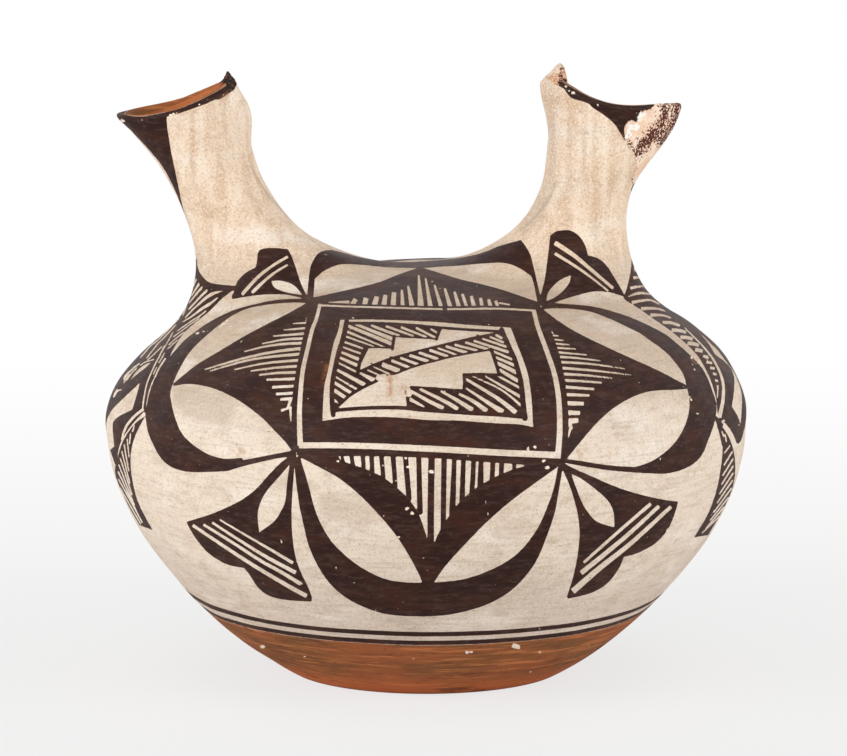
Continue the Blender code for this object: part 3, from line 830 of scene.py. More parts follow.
def flowers() -> list[Mark]:
    """The four flowers that grow from the medallion's corners."""
    low_left = [
        Patch(LOW_LEFT_FLOWER, (
            (1215, -262, 1080, -165, 950, -30, 830, 100, 700, 195, 550, 272, 400, 335, 290, 370,
             160, 410),
            (160, 410, 200, 490, 280, 610, 380, 720, 500, 800, 600, 840, 725, 862),
            (725, 862, 780, 930, 850, 1040, 940, 1120, 1050, 1160, 1200, 1182, 1388, 1192),
            (1392, 1150, 1350, 1040, 1290, 920, 1240, 790, 1210, 640, 1196, 480, 1192, 320, 1198, 150,
             1210, 0, 1222, -140, 1240, -262),
        )),
        Patch(LOW_LEFT_FLOWER, (
            (1172, -150, 1150, 0, 1140, 100, 1130, 200, 1095, 290, 1020, 405, 875, 512),
            (875, 512, 860, 350, 880, 240, 940, 120, 1050, -10, 1172, -150),
        ), Act.RESERVE),
        *gaps(LOW_LEFT_FLOWER, (
            (222, 443, 596, 694, 846, 854, 1146, 1032, 1340, 1138, 26, 38),
            (328, 436, 636, 628, 896, 796, 1096, 906, 1282, 1020, 22, 34),
            (412, 416, 700, 603, 950, 757, 1232, 908, 20, 34),
            (485, 388, 750, 545, 1000, 690, 1205, 814, 14, 28),
        )),
    ]
    low_right = [
        Patch(LOW_RIGHT_FLOWER, (
            (175, 262, 290, 322, 400, 370, 600, 458, 750, 510, 900, 550, 1040, 578, 1138, 590),
            (1138, 598, 1105, 710, 1055, 820, 970, 920, 880, 980, 780, 1025, 690, 1048),
            (690, 1048, 668, 1110, 620, 1190, 560, 1260, 480, 1318, 380, 1358, 232, 1392),
            (222, 1375, 262, 1250, 290, 1140, 315, 1000, 326, 850, 315, 720, 288, 600, 248, 470,
             195, 345, 160, 270),
        )),
        Patch(LOW_RIGHT_FLOWER, (
            (256, 360, 340, 402, 430, 468, 520, 542, 580, 612, 608, 690, 615, 802),
            (615, 802, 530, 780, 455, 745, 390, 670, 340, 582, 300, 480, 256, 360),
        ), Act.RESERVE),
        *gaps(LOW_RIGHT_FLOWER, (
            (915, 608, 650, 836, 360, 1094, 26, 20), (982, 628, 702, 884, 340, 1180, 26, 36),
            (1082, 632, 748, 936, 496, 1136, 270, 1332, 26, 46), (398, 736, 404, 740, 14, 10),
        )),
    ]
    up_left = [
        Patch(TOP_PETAL, (
            (345, 325, 318, 270, 295, 200, 278, 155, 266, 133),
            (266, 133, 200, 129, 160, 135, 147, 155, 145, 180, 139, 206),
            (139, 206, 110, 220, 85, 240, 65, 265, 60, 290, 45, 318),
            (48, 330, 120, 318, 180, 312, 250, 312, 310, 323, 345, 338),
        )),
        Patch(TOP_PETAL, (
            (200, 258, 240, 258, 280, 270, 305, 290, 322, 314),
            (322, 314, 280, 307, 240, 297, 212, 282, 200, 258),
        ), Act.RESERVE),
        *gaps(TOP_PETAL, (
            (266, 163, 206, 199, 146, 246, 86, 312, 9, 12),
            (266, 195, 217, 224, 172, 260, 124, 306, 7, 12),
        )),
    ]
    up_right = [
        Patch(TOP_PETAL, (
            (1248, 345, 1271, 260, 1283, 180, 1295, 75),
            (1300, 75, 1325, 62, 1370, 60, 1405, 80, 1430, 115, 1443, 158),
            (1443, 158, 1483, 170, 1517, 200, 1543, 240, 1573, 290, 1589, 322),
            (1570, 316, 1530, 304, 1480, 299, 1430, 307, 1350, 330, 1300, 348, 1262, 360),
        )),
        Patch(TOP_PETAL, (
            (1279, 338, 1288, 302, 1320, 265, 1350, 246, 1376, 236),
            (1376, 236, 1368, 268, 1340, 302, 1310, 324, 1279, 338),
        ), Act.RESERVE),
        *gaps(TOP_PETAL, (
            (1312, 108, 1387, 158, 1447, 208, 1542, 288, 17, 10),
            (1312, 150, 1398, 204, 1458, 247, 1522, 298, 11, 6),
        )),
    ]
    return [*low_left, *low_right, *up_left, *up_right]


def side_panels() -> list[Mark]:
    """The hatched panels under the spouts, which the front view sees from their edges."""
    left = [
        Patch(LEFT_SIDE, (
            (528, 60, 555, 120, 600, 158, 735, 174),
            (735, 174, 662, 230, 598, 294, 534, 346, 470, 402, 430, 458, 392, 528, 362, 600, 330, 670,
             302, 740, 286, 815, 272, 835),
            (255, 820, 200, 880, 150, 950, 122, 1020, 112, 1110, 40, 900, 0, 820, 40, 700, 230, 440,
             400, 300, 480, 180, 528, 60),
        )),
        *gaps(LEFT_HATCH, (
            (745, 455, 720, 520, 690, 595, 30, 10), (792, 535, 742, 610, 690, 690, 650, 750, 38, 14),
            (842, 590, 760, 680, 695, 760, 628, 845, 40, 14),
            (922, 640, 830, 722, 740, 820, 660, 905, 610, 960, 42, 16),
            (1168, 662, 1080, 674, 985, 704, 16, 52),
            (1000, 700, 900, 762, 800, 850, 700, 940, 560, 1085, 56, 14),
            (1085, 762, 1010, 822, 920, 886, 16, 50),
            (935, 876, 850, 925, 750, 1000, 650, 1075, 515, 1155, 48, 16),
            (908, 966, 800, 1052, 700, 1112, 600, 1180, 430, 1300, 20, 18),
            (800, 1085, 700, 1150, 600, 1222, 480, 1312, 365, 1395, 16, 16),
            (548, 1308, 450, 1388, 380, 1442, 295, 1525, 14, 14),
            (450, 1432, 380, 1492, 280, 1585, 14, 12), (588, 875, 562, 950, 520, 1060, 10, 18),
            (470, 1090, 380, 1180, 280, 1290, 180, 1390, 60, 1500, 16, 14),
            (420, 1190, 330, 1290, 225, 1400, 120, 1500, 14, 14),
            (370, 1310, 300, 1440, 225, 1570, 200, 1620, 14, 14),
        ), fuller=1.0),
        *gaps(LEFT_EDGE, (
            (1190, 310, 1090, 520, 1000, 690, 950, 800, 870, 980, 820, 1140, 790, 1300, 765, 1440,
             755, 1570, 24, 30),
            (1215, 560, 1130, 685, 1060, 805, 1000, 945, 935, 1080, 890, 1205, 860, 1330, 838, 1450,
             822, 1590, 34, 16),
            (1192, 450, 1115, 600, 1065, 665, 22, 18), (1040, 735, 990, 835, 965, 900, 20, 18),
            (770, 1585, 690, 1640, 605, 1710, 520, 1800, 430, 1920, 370, 2060, 340, 2200, 56, 40),
            (1095, 225, 1000, 345, 900, 472, 828, 575, 22, 20),
            (1140, 330, 1040, 425, 930, 532, 850, 602, 20, 18),
            (695, 662, 600, 742, 500, 825, 415, 905, 375, 965, 28, 26),
            (985, 585, 890, 615, 795, 645, 700, 715, 22, 18), (485, 885, 425, 985, 372, 1062, 26, 22),
            (330, 1195, 260, 1215, 205, 1290, 165, 1350, 30, 26),
            (1030, 225, 900, 330, 780, 470, 700, 560, 18, 18),
            (700, 664, 570, 755, 455, 880, 372, 1010, 26, 22), (640, 752, 520, 880, 425, 1010, 14, 12),
            (250, 1180, 205, 1250, 170, 1330, 16, 16),
        ), fuller=1.0),
        *strokes(LEFT_SIDE, ((528, 25, 532, 70, 550, 110, 590, 150, 650, 165, 735, 174, 10, 26),)),
        Patch(LEFT_SIDE, (
            (235, 668, 215, 740, 195, 808),
            (195, 808, 130, 840, 98, 868, 92, 900, 100, 1002),
            (100, 1002, 70, 1012, 58, 900, 66, 850),
            (66, 850, 90, 808, 150, 748, 235, 668),
        ), Act.RESERVE),
        Patch(LEFT_SIDE, (
            (292, 560, 261, 573, 230, 596, 206, 622, 186, 654),
            (186, 654, 209, 632, 235, 612, 262, 591, 281, 573, 292, 560),
        ), Act.RESERVE),
        Patch(LEFT_SIDE, (
            (262, 842, 215, 935, 192, 1010, 186, 1080, 193, 1160, 218, 1270, 258, 1360, 302, 1438),
            (302, 1438, 232, 1412),
            (232, 1412, 180, 1320, 130, 1215, 104, 1130, 120, 1050, 150, 965, 205, 885, 262, 842),
        )),
        *gaps(LEFT_SIDE, (
            (206, 888, 196, 925, 5, 3), (186, 930, 180, 990, 6, 4), (168, 960, 178, 1060, 6, 4),
            (152, 990, 176, 1130, 6, 5), (140, 1025, 182, 1195, 6, 5), (131, 1060, 194, 1255, 6, 5),
            (124, 1095, 207, 1310, 6, 5), (120, 1130, 225, 1358, 6, 5), (122, 1170, 248, 1400, 6, 5),
            (130, 1215, 240, 1408, 5, 4),
        )),
    ]
    right = [
        Patch(RIGHT_HATCH, (
            (262, 60, 264, 200, 238, 400, 185, 620, 135, 765),
            (135, 765, 180, 812, 300, 884, 450, 984, 600, 1092, 750, 1192, 900, 1302, 1050, 1422,
             1150, 1512, 1240, 1600, 1340, 1720, 1420, 1850, 1500, 2010, 1560, 2170, 1600, 2310,
             1620, 2400, 1640, 2600),
            (1640, 2600, 1700, 2900, 1760, 2780, 1980, 3100, 2120, 2600, 2120, 2200, 1950, 1800,
             1700, 1450, 1300, 1150, 900, 900, 600, 600, 400, 250, 330, 60, 262, 60),
        )),
        *gaps(RIGHT_HATCH, (
            (322, 262, 326, 350, 34, 44), (292, 446, 350, 442, 425, 450, 58, 26),
            (245, 612, 330, 592, 410, 584, 500, 592, 52, 26), (205, 750, 280, 718, 350, 694, 20, 46),
            (335, 700, 440, 688, 580, 706, 48, 28), (268, 842, 400, 816, 560, 802, 720, 868, 56, 20),
            (418, 940, 600, 932, 700, 944, 810, 978, 54, 20),
            (565, 1042, 700, 1040, 800, 1052, 900, 1092, 52, 22),
            (762, 1160, 900, 1164, 1040, 1212, 54, 40), (905, 1284, 1030, 1288, 1140, 1318, 58, 46),
            (1045, 1396, 1140, 1400, 1245, 1424, 58, 50), (1160, 1492, 1250, 1500, 1345, 1524, 62, 50),
        ), fuller=1.0),
        *gaps(RIGHT_EDGE, (
            (165, 312, 285, 338, 62, 50), (288, 418, 378, 440, 52, 44), (342, 512, 435, 530, 44, 38),
            (402, 604, 475, 618, 44, 38), (446, 696, 508, 712, 42, 38), (478, 800, 532, 820, 38, 34),
            (521, 885, 524, 960, 516, 1085, 32, 8),
            (-10, -40, 150, 118, 270, 240, 370, 358, 452, 472, 522, 600, 582, 740, 614, 880, 616, 1000,
             18, 48),
            (617, 990, 606, 1130, 582, 1260, 548, 1400, 48, 66),
            (585, 1455, 680, 1560, 752, 1680, 800, 1815, 822, 1960, 28, 48),
        ), fuller=1.0),
        Patch(RIGHT_EDGE, (
            (468, 1395, 488, 1450, 520, 1560, 560, 1700, 590, 1850),
            (590, 1850, 650, 1870, 690, 1850),
            (690, 1850, 650, 1640, 580, 1520, 525, 1410, 505, 1380, 468, 1395),
        )),
        Patch(RIGHT_EDGE, (
            (250, 60, 380, 222, 488, 400),
            (488, 400, 600, 475, 690, 560, 742, 622),
            (742, 622, 785, 750, 790, 900, 775, 1060, 748, 1220),
            (748, 1220, 835, 1365, 888, 1500),
            (888, 1500, 905, 1300, 912, 1100, 890, 950, 832, 780, 760, 640, 650, 500, 530, 335, 400, 205,
             250, 60),
        ), Act.RESERVE),
        *gaps(RIGHT_EDGE, ((975, 1545, 948, 1700, 915, 1920, 860, 2100, 20, 34),), fuller=1.0),
        Patch(RIGHT_SIDE, (
            (518, 895, 546, 970, 551, 1060, 540, 1160, 519, 1260, 478, 1370, 412, 1482),
            (412, 1482, 482, 1470),
            (482, 1470, 540, 1370, 590, 1270, 612, 1180, 610, 1080, 580, 985, 518, 895),
        )),
        *gaps(RIGHT_SIDE, (
            (548, 960, 558, 990, 6, 4), (562, 975, 572, 1015, 7, 5), (590, 1030, 560, 1070, 6, 5),
            (600, 1060, 558, 1130, 7, 6), (604, 1095, 552, 1180, 7, 6), (605, 1130, 545, 1225, 7, 6),
            (605, 1165, 536, 1270, 7, 6), (602, 1200, 524, 1315, 7, 6), (596, 1240, 508, 1360, 7, 6),
            (582, 1285, 490, 1400, 7, 5), (562, 1330, 468, 1440, 7, 5), (540, 1375, 450, 1462, 6, 4),
        )),
    ]
    return [*left, *right]


def spout_marks() -> list[Mark]:
    """The paint under the two pour lips."""
    return [
        Patch(LEFT_LIP, (
            (606, 560, 608, 690, 640, 900, 680, 1100, 722, 1300, 748, 1430, 800, 1640),
            (800, 1640, 768, 1560, 728, 1430, 664, 1280, 566, 1100, 432, 930, 300, 790, 225, 715,
             120, 660, 100, 560, 350, 500, 606, 560),
        )),
        Patch(LEFT_LIP, (
            (606, 580, 700, 580, 800, 545, 900, 512, 1000, 474, 1075, 440, 1130, 432, 1200, 385,
             1262, 340, 1292, 288, 1330, 240),
            (1330, 240, 1180, 130, 1120, 300, 1000, 400, 800, 440, 606, 500, 606, 580),
        )),
        Patch(RIGHT_LIP, (
            (270, 270, 330, 330, 385, 402, 430, 432, 560, 470, 620, 520, 740, 600, 830, 680, 872, 745,
             945, 870),
            (945, 870, 925, 760, 935, 690, 990, 640, 1050, 655, 1085, 570, 1180, 525, 1230, 480),
            (1230, 480, 900, 440, 600, 360, 440, 290, 372, 250, 345, 205, 300, 225, 270, 270),
        )),
        *strokes(RIGHT_LIP, (
            (985, 1205, 1005, 1215, 12, 20), (1005, 1245, 1022, 1262, 1000, 1330, 18, 26),
        )),
    ]


def flaked_marks() -> list[Mark]:
    """Where the slip and paint have flaked from the right lip."""
    return [
        Patch(RIGHT_LIP, (
            (1225, 470, 1180, 525, 1085, 560, 1050, 650, 990, 640, 935, 690, 925, 760, 945, 870),
            (945, 870, 1010, 960, 1040, 1080, 1020, 1250),
            (1020, 1250, 1120, 1130, 1300, 880, 1480, 620, 1540, 480, 1400, 400, 1225, 470),
        )),
    ]


def stained_marks() -> list[Mark]:
    """Where red-brown stain is left on the flaked lip."""
    return strokes(RIGHT_LIP, (
        (1460, 470, 1450, 580, 1390, 720, 1300, 850, 150, 120),
        (1330, 500, 1310, 620, 1290, 700, 90, 110), (1250, 760, 1150, 840, 1050, 950, 150, 110),
        (960, 860, 1020, 960, 40, 60),
    ))


def rusty_marks() -> list[Mark]:
    """Where the orange clay shows through the worn slip."""
    return [
        *strokes(STEPS, (
            (840, 880, 860, 980, 850, 1060, 150, 110), (1040, 1000, 1060, 1080, 90, 80),
            (40, 640, 10, 800, 0, 900, 60, 80),
        )),
        *strokes(LEFT_LIP, (
            (1140, 430, 1230, 370, 1300, 290, 50, 60), (640, 590, 720, 580, 26, 26),
        )),
        Stroke(RIGHT_LIP, (872, 750, 930, 860), 40, 44),
        Stroke(LEFT_PETAL, (930, 1230, 1000, 1250), 36, 36),
        Stroke(RIGHT_PETAL, (310, 1240, 330, 1300), 26, 30),
        Stroke(RIGHT_EDGE, (110, 470, 160, 530), 60, 50),
    ]


def chipped_marks() -> list[Mark]:
    """Small chips that show white slip in the dark paint, as x, y and width in turn."""
    rows = (
        (LEFT_LIP, (165, 640, 34, 215, 632, 12, 275, 632, 16, 305, 636, 22, 345, 628, 14, 360, 640, 12,
                    400, 575, 14, 560, 552, 10, 590, 585, 16, 640, 592, 26, 668, 578, 22, 700, 570, 14,
                    780, 548, 10, 920, 486, 9, 1160, 392, 9, 1080, 436, 6, 250, 800, 8, 210, 720, 8)),
        (RIGHT_LIP, (345, 310, 18, 352, 340, 8, 380, 352, 12, 418, 372, 24, 432, 376, 14, 660, 490, 12,
                     668, 500, 8, 750, 530, 8, 880, 600, 10, 800, 560, 6, 600, 470, 8)),
        (BASE, (800, 187, 8, 812, 186, 6, 942, 168, 14, 950, 172, 10, 1018, 186, 5, 185, 170, 10,
                312, 200, 5, 1165, 168, 4, 990, 245, 5, 640, 205, 3)),
        (BOTTOM_COMB, (700, 95, 20, 885, 132, 26, 690, 430, 20, 730, 468, 22, 605, 205, 12,
                       1785, 45, 22, 1812, 100, 26, 505, 487, 10, 628, 655, 12, 500, 85, 8,
                       825, 825, 12)),
        (RIGHT_EDGE, (66, 1078, 26, 92, 1118, 20, 190, 1338, 26, 150, 630, 20, 205, 520, 24,
                      620, 1450, 30, 855, 1520, 18, 100, 440, 30, 5, 1200, 10)),
        (LEFT_HATCH, (745, 1335, 34, 765, 1325, 26, 850, 1305, 30, 930, 1290, 20, 1225, 1130, 26,
                      1180, 1180, 30, 1150, 1205, 26, 1110, 1230, 24, 1285, 1220, 20)),
        (SQUARE, (655, 880, 9, 300, 895, 7, 1330, 820, 10, 1385, 780, 8, 980, 868, 8)),
    )
    made = []
    for detail, numbers in rows:
        for x, y, wide in np.reshape(numbers, (-1, 3)):
            made.append(Stroke(detail, (x, y, x + wide / 2, y), wide, wide))
    return made


def white_marks() -> list[Mark]:
    """Where the flaked lip is whitest."""
    return strokes(RIGHT_LIP, (
        (1110, 575, 1050, 590, 1060, 635, 26, 22), (1040, 705, 985, 720, 950, 800, 54, 34),
        (1000, 1180, 990, 1230, 30, 20),
    ))


def fold_groove_and_shade_marks() -> list[Mark]:
    """Thin folds that were left where coils and handle were worked together; each is a groove in the relief
    with a line of painted shade along it.
    """
    return [
        Stroke(LEFT_LIP, (1425, 1075, 1470, 1165, 1550, 1300, 1660, 1440, 1780, 1560, 1860, 1640), 3, 6),
        Stroke(RIGHT_LIP, (250, 1250, 190, 1400, 60, 1580, -90, 1720), 3, 3),
    ]


def shade_and_smudge_marks() -> list[Mark]:
    """Soft grey patches: painted shade down the inner side of the right neck, and darker grey patches on
    the petals and the stepped field.
    """
    return [
        # painted shade down the inner side of the right neck
        Stroke(RIGHT_LIP, (190, 330, 215, 800, 190, 1250, 20, 1620), 120, 190),
        # darker grey patches on the petals and the stepped field
        Stroke(LEFT_PETAL, (620, 900, 820, 1000, 900, 900), 200, 160),
        Stroke(BOTTOM_PETAL, (260, 330, 420, 380, 560, 350), 130, 110),
        Stroke(STEPS, (150, 560, 520, 420, 900, 330), 170, 120),
    ]


def torn_marks() -> list[Mark]:
    """The broken faces of the two handle roots."""
    return [
        Patch(LEFT_LIP, (
            (1290, 292, 1262, 345, 1200, 385, 1130, 432, 1075, 440, 1120, 350, 1140, 250),
            (1140, 250, 1190, 120, 1250, 180, 1310, 262, 1290, 292),
        )),
        Patch(RIGHT_LIP, (
            (163, 215, 215, 262, 262, 290, 330, 320, 350, 280, 342, 190, 330, 120),
            (330, 120, 290, 120, 285, 170, 230, 185, 163, 215),
        )),
    ]


def wear_and_shade_marks() -> dict[str, list[Mark]]:
    """All wear, and the painted shade along the folds and down the right neck's inner side, under the names
    that the finishes read.
    """
    return {
        "flaked": flaked_marks(),
        "stained": stained_marks(),
        "rusty": rusty_marks(),
        "chipped": chipped_marks(),
        "white": white_marks(),
        "fold_groove_and_shade": fold_groove_and_shade_marks(),
        "shade_and_smudges": shade_and_smudge_marks(),
        "torn": torn_marks(),
    }


@dataclass(frozen=True)
class PaintedRings:
    """The two lines round the jar just above the bare base; both climb a little towards the sides."""

    heights: tuple[float, float] = (0.0301, 0.0262)
    left_climbs: tuple[float, float] = (0.0024, 0.0009)
    right_climbs: tuple[float, float] = (0.0013, 0.0008)
    wide: float = 0.0020
    left_fuller: float = 0.9
    waver: float = 0.0003
    waves: tuple[tuple[int, float, float], ...] = ((3, 0.7, 1.0), (7, 2.1, 0.6))
    slip_edge: float = 0.0252

    def level(self, points: Points, which: int) -> Points:
        """How high points lie over the foot, less the rise of one ring's hand-drawn line."""
        azimuth = np.arctan2(points[:, 1], points[:, 0])
        aside = np.cos(azimuth)
        climb = np.where(aside < 0, self.left_climbs[which], self.right_climbs[which]) * aside**4
        waver = sum(strength * np.sin(times * azimuth + turn) for times, turn, strength in self.waves)
        waver *= self.waver / sum(strength for _, _, strength in self.waves)
        return points[:, 2] - climb - waver

    def distance(self, points: Points) -> Points:
        """Signed distance to the nearer line's edge, in metres."""
        aside = np.maximum(0.0, -np.cos(np.arctan2(points[:, 1], points[:, 0])))
        half = self.wide / 2 * (1 + self.left_fuller * aside**8)
        upper, lower = (abs(self.level(points, i) - height) for i, height in enumerate(self.heights))
        return np.minimum(upper - half, lower - self.wide / 2)

    def slip_distance(self, points: Points) -> Points:
        """How far a point is above the slip's lower edge."""
        return self.level(points, 1) - self.slip_edge


@dataclass(frozen=True)
class Pattern:
    """The painted pattern of the whole jar; its back repeats its front."""

    camera: StudioCamera
    saddle_y: float = 0.008
    saddle_low: float = 0.125
    saddle_high: float = 0.150

    def painted(self) -> list[Mark]:
        """Every painted mark, in the order that the painter lays them."""
        return [
            *side_panels(),
            *left_petal(),
            *right_petal(),
            *bottom_petal(),
            *top_petal(),
            *flowers(),
            *square_motif(),
            *spout_marks(),
        ]

    def seen_from_front(self, points: Points) -> Points:
        """Moves points of the back to the places of the front that they repeat."""
        rise = np.clip((points[:, 2] - self.saddle_low) / (self.saddle_high - self.saddle_low), 0, 1)
        middle = self.saddle_y * rise * rise * (3 - 2 * rise)
        folded = points.copy()
        folded[:, 1] = np.minimum(points[:, 1], 2 * middle - points[:, 1])
        return folded

    def distance(self, points: Points, marks: list[Mark]) -> Points:
        """Signed distance from points of the skin to the edge of what the marks lay.

        Args:
            points: Places on the jar's outer surface.
            marks: The marks, in the order in which they are laid.

        Returns:
            Distances in metres, negative inside.
        """
        places = self.camera.project(self.seen_from_front(points))
        found = np.full(len(places), REACH)
        for mark in marks:
            line = mark.outline()
            low, high = line.min(axis=0) - 2 * REACH, line.max(axis=0) + 2 * REACH
            near = np.flatnonzero(((places > low) & (places < high)).all(axis=1))
            distance = mark.distance(places[near])
            if mark.act is Act.PAINT:
                found[near] = np.minimum(found[near], distance)
            else:
                found[near] = np.maximum(found[near], -distance)
        return np.clip(found, -REACH, REACH) * self.camera.pixel_size()


# The skin


class Layer(Enum):
    """Which material a triangle shows: the finish of the outside, or the bare clay of inside and joints."""

    OUTSIDE = 0
    INSIDE = 1


@dataclass
class Skin:
    """A surface under construction: points, and triangles that each belong to one piece."""

    points: list[Points] = field(default_factory=list)
    smooth: dict[str, list[tuple[Points, Layer]]] = field(default_factory=dict)
    hidden: dict[str, list[Points]] = field(default_factory=dict)
    count: int = 0

    def add(self, points: Points) -> Points:
        """Adds points and gives back their numbers, in the same shape."""
        points = np.asarray(points, float)
        self.points.append(points.reshape(-1, 3))
        numbers = np.arange(self.count, self.count + points.size // 3)
        self.count += points.size // 3
        return numbers.reshape(points.shape[:-1])

    def cover(self, piece: str, corners: Points, layer: Layer, flip: bool = False) -> None:
        """Adds triangles that show."""
        turned = corners[:, ::-1] if flip else corners
        self.smooth.setdefault(piece, []).append((turned, layer))

    def close(self, piece: str, corners: Points, flip: bool = False) -> None:
        """Adds triangles that lie hidden in a joint."""
        self.hidden.setdefault(piece, []).append(corners[:, ::-1] if flip else corners)

    def shown(self) -> Points:
        """Every triangle that shows, over all pieces."""
        return np.concatenate([corners for parts in self.smooth.values() for corners, _ in parts])


def strip(numbers: Points) -> Points:
    """Joins the rows of a grid, whose columns run all the way round, with triangles.

    Args:
        numbers: The grid's point numbers, one row of points after another.

    Returns:
        Triangles that face outwards where rows rise and columns run counter-clockwise.
    """
    low, high = numbers[:-1], numbers[1:]
    low_next, high_next = np.roll(low, -1, axis=1), np.roll(high, -1, axis=1)
    first = np.stack([low, low_next, high_next], axis=-1).reshape(-1, 3)
    second = np.stack([low, high_next, high], axis=-1).reshape(-1, 3)
    return np.concatenate([first, second])


def vertex_normals(points: Points, triangles: Points) -> Points:
    """Smooth normals of a triangle mesh, weighted by area."""
    a, b, c = points[triangles[:, 0]], points[triangles[:, 1]], points[triangles[:, 2]]
    face = np.cross(b - a, c - a)
    total = np.zeros_like(points)
    for axis in range(3):
        for corner in range(3):
            total[:, axis] += np.bincount(triangles[:, corner], face[:, axis], len(points))
    return total / np.maximum(np.linalg.norm(total, axis=1, keepdims=True), 1e-12)


def smoothed(points: Points, triangles: Points, share: Points, rounds: int) -> Points:
    """Rubs a joint smooth, as a potter's wet hand does.

    Args:
        points: The mesh's points.
        triangles: The mesh's triangles.
        share: How far each point may follow its neighbours, from 0 to 1.
        rounds: How often the hand goes over the joint.

    Returns:
        The moved points.
    """
    used = triangles[(share > 0.001)[triangles].any(axis=1)]
    kept, used = np.unique(used, return_inverse=True)
    used = used.reshape(-1, 3)
    ends = np.concatenate([used[:, [0, 1]], used[:, [1, 2]], used[:, [2, 0]]])
    ends = np.concatenate([ends, ends[:, ::-1]])
    count = np.maximum(np.bincount(ends[:, 0], minlength=len(kept)), 1)
    moved, follow = points[kept], share[kept]
    for _ in range(rounds):
        mean = [np.bincount(ends[:, 0], moved[ends[:, 1], axis], len(kept)) / count for axis in range(3)]
        moved += follow[:, None] * (np.stack(mean, axis=1) - moved)
    result = points.copy()
    result[kept] = moved
    return result


@dataclass(frozen=True)
class HandWork:
    """How far a hand-built wall strays from its turned outline: slow sways and thumb-wide dents."""

    sway: float = 0.00040
    sway_length: float = 0.055
    dent: float = 0.00012
    dent_length: float = 0.016
    still_below: float = 0.008
    waves: int = 18
    seed: int = 11

    def moved(self, points: Points) -> Points:
        """Moves points the way that the potter's hands did.

        Args:
            points: Places on the turned form.

        Returns:
            Their places on the hand-built form; the foot stays where it is.
        """
        chance = np.random.default_rng(self.seed)
        total = np.zeros_like(points)
        for size, length in ((self.sway, self.sway_length), (self.dent, self.dent_length)):
            for _ in range(self.waves):
                heading = chance.normal(size=3)
                heading *= 2 * math.pi / length / np.linalg.norm(heading) * chance.uniform(0.6, 1.3)
                push = chance.normal(size=3) * size / math.sqrt(self.waves)
                total += np.sin(points @ heading + chance.uniform(0, 2 * math.pi))[:, None] * push
        free = np.clip(points[:, 2] / self.still_below, 0, 1)
        return points + total * (free * free * (3 - 2 * free))[:, None]


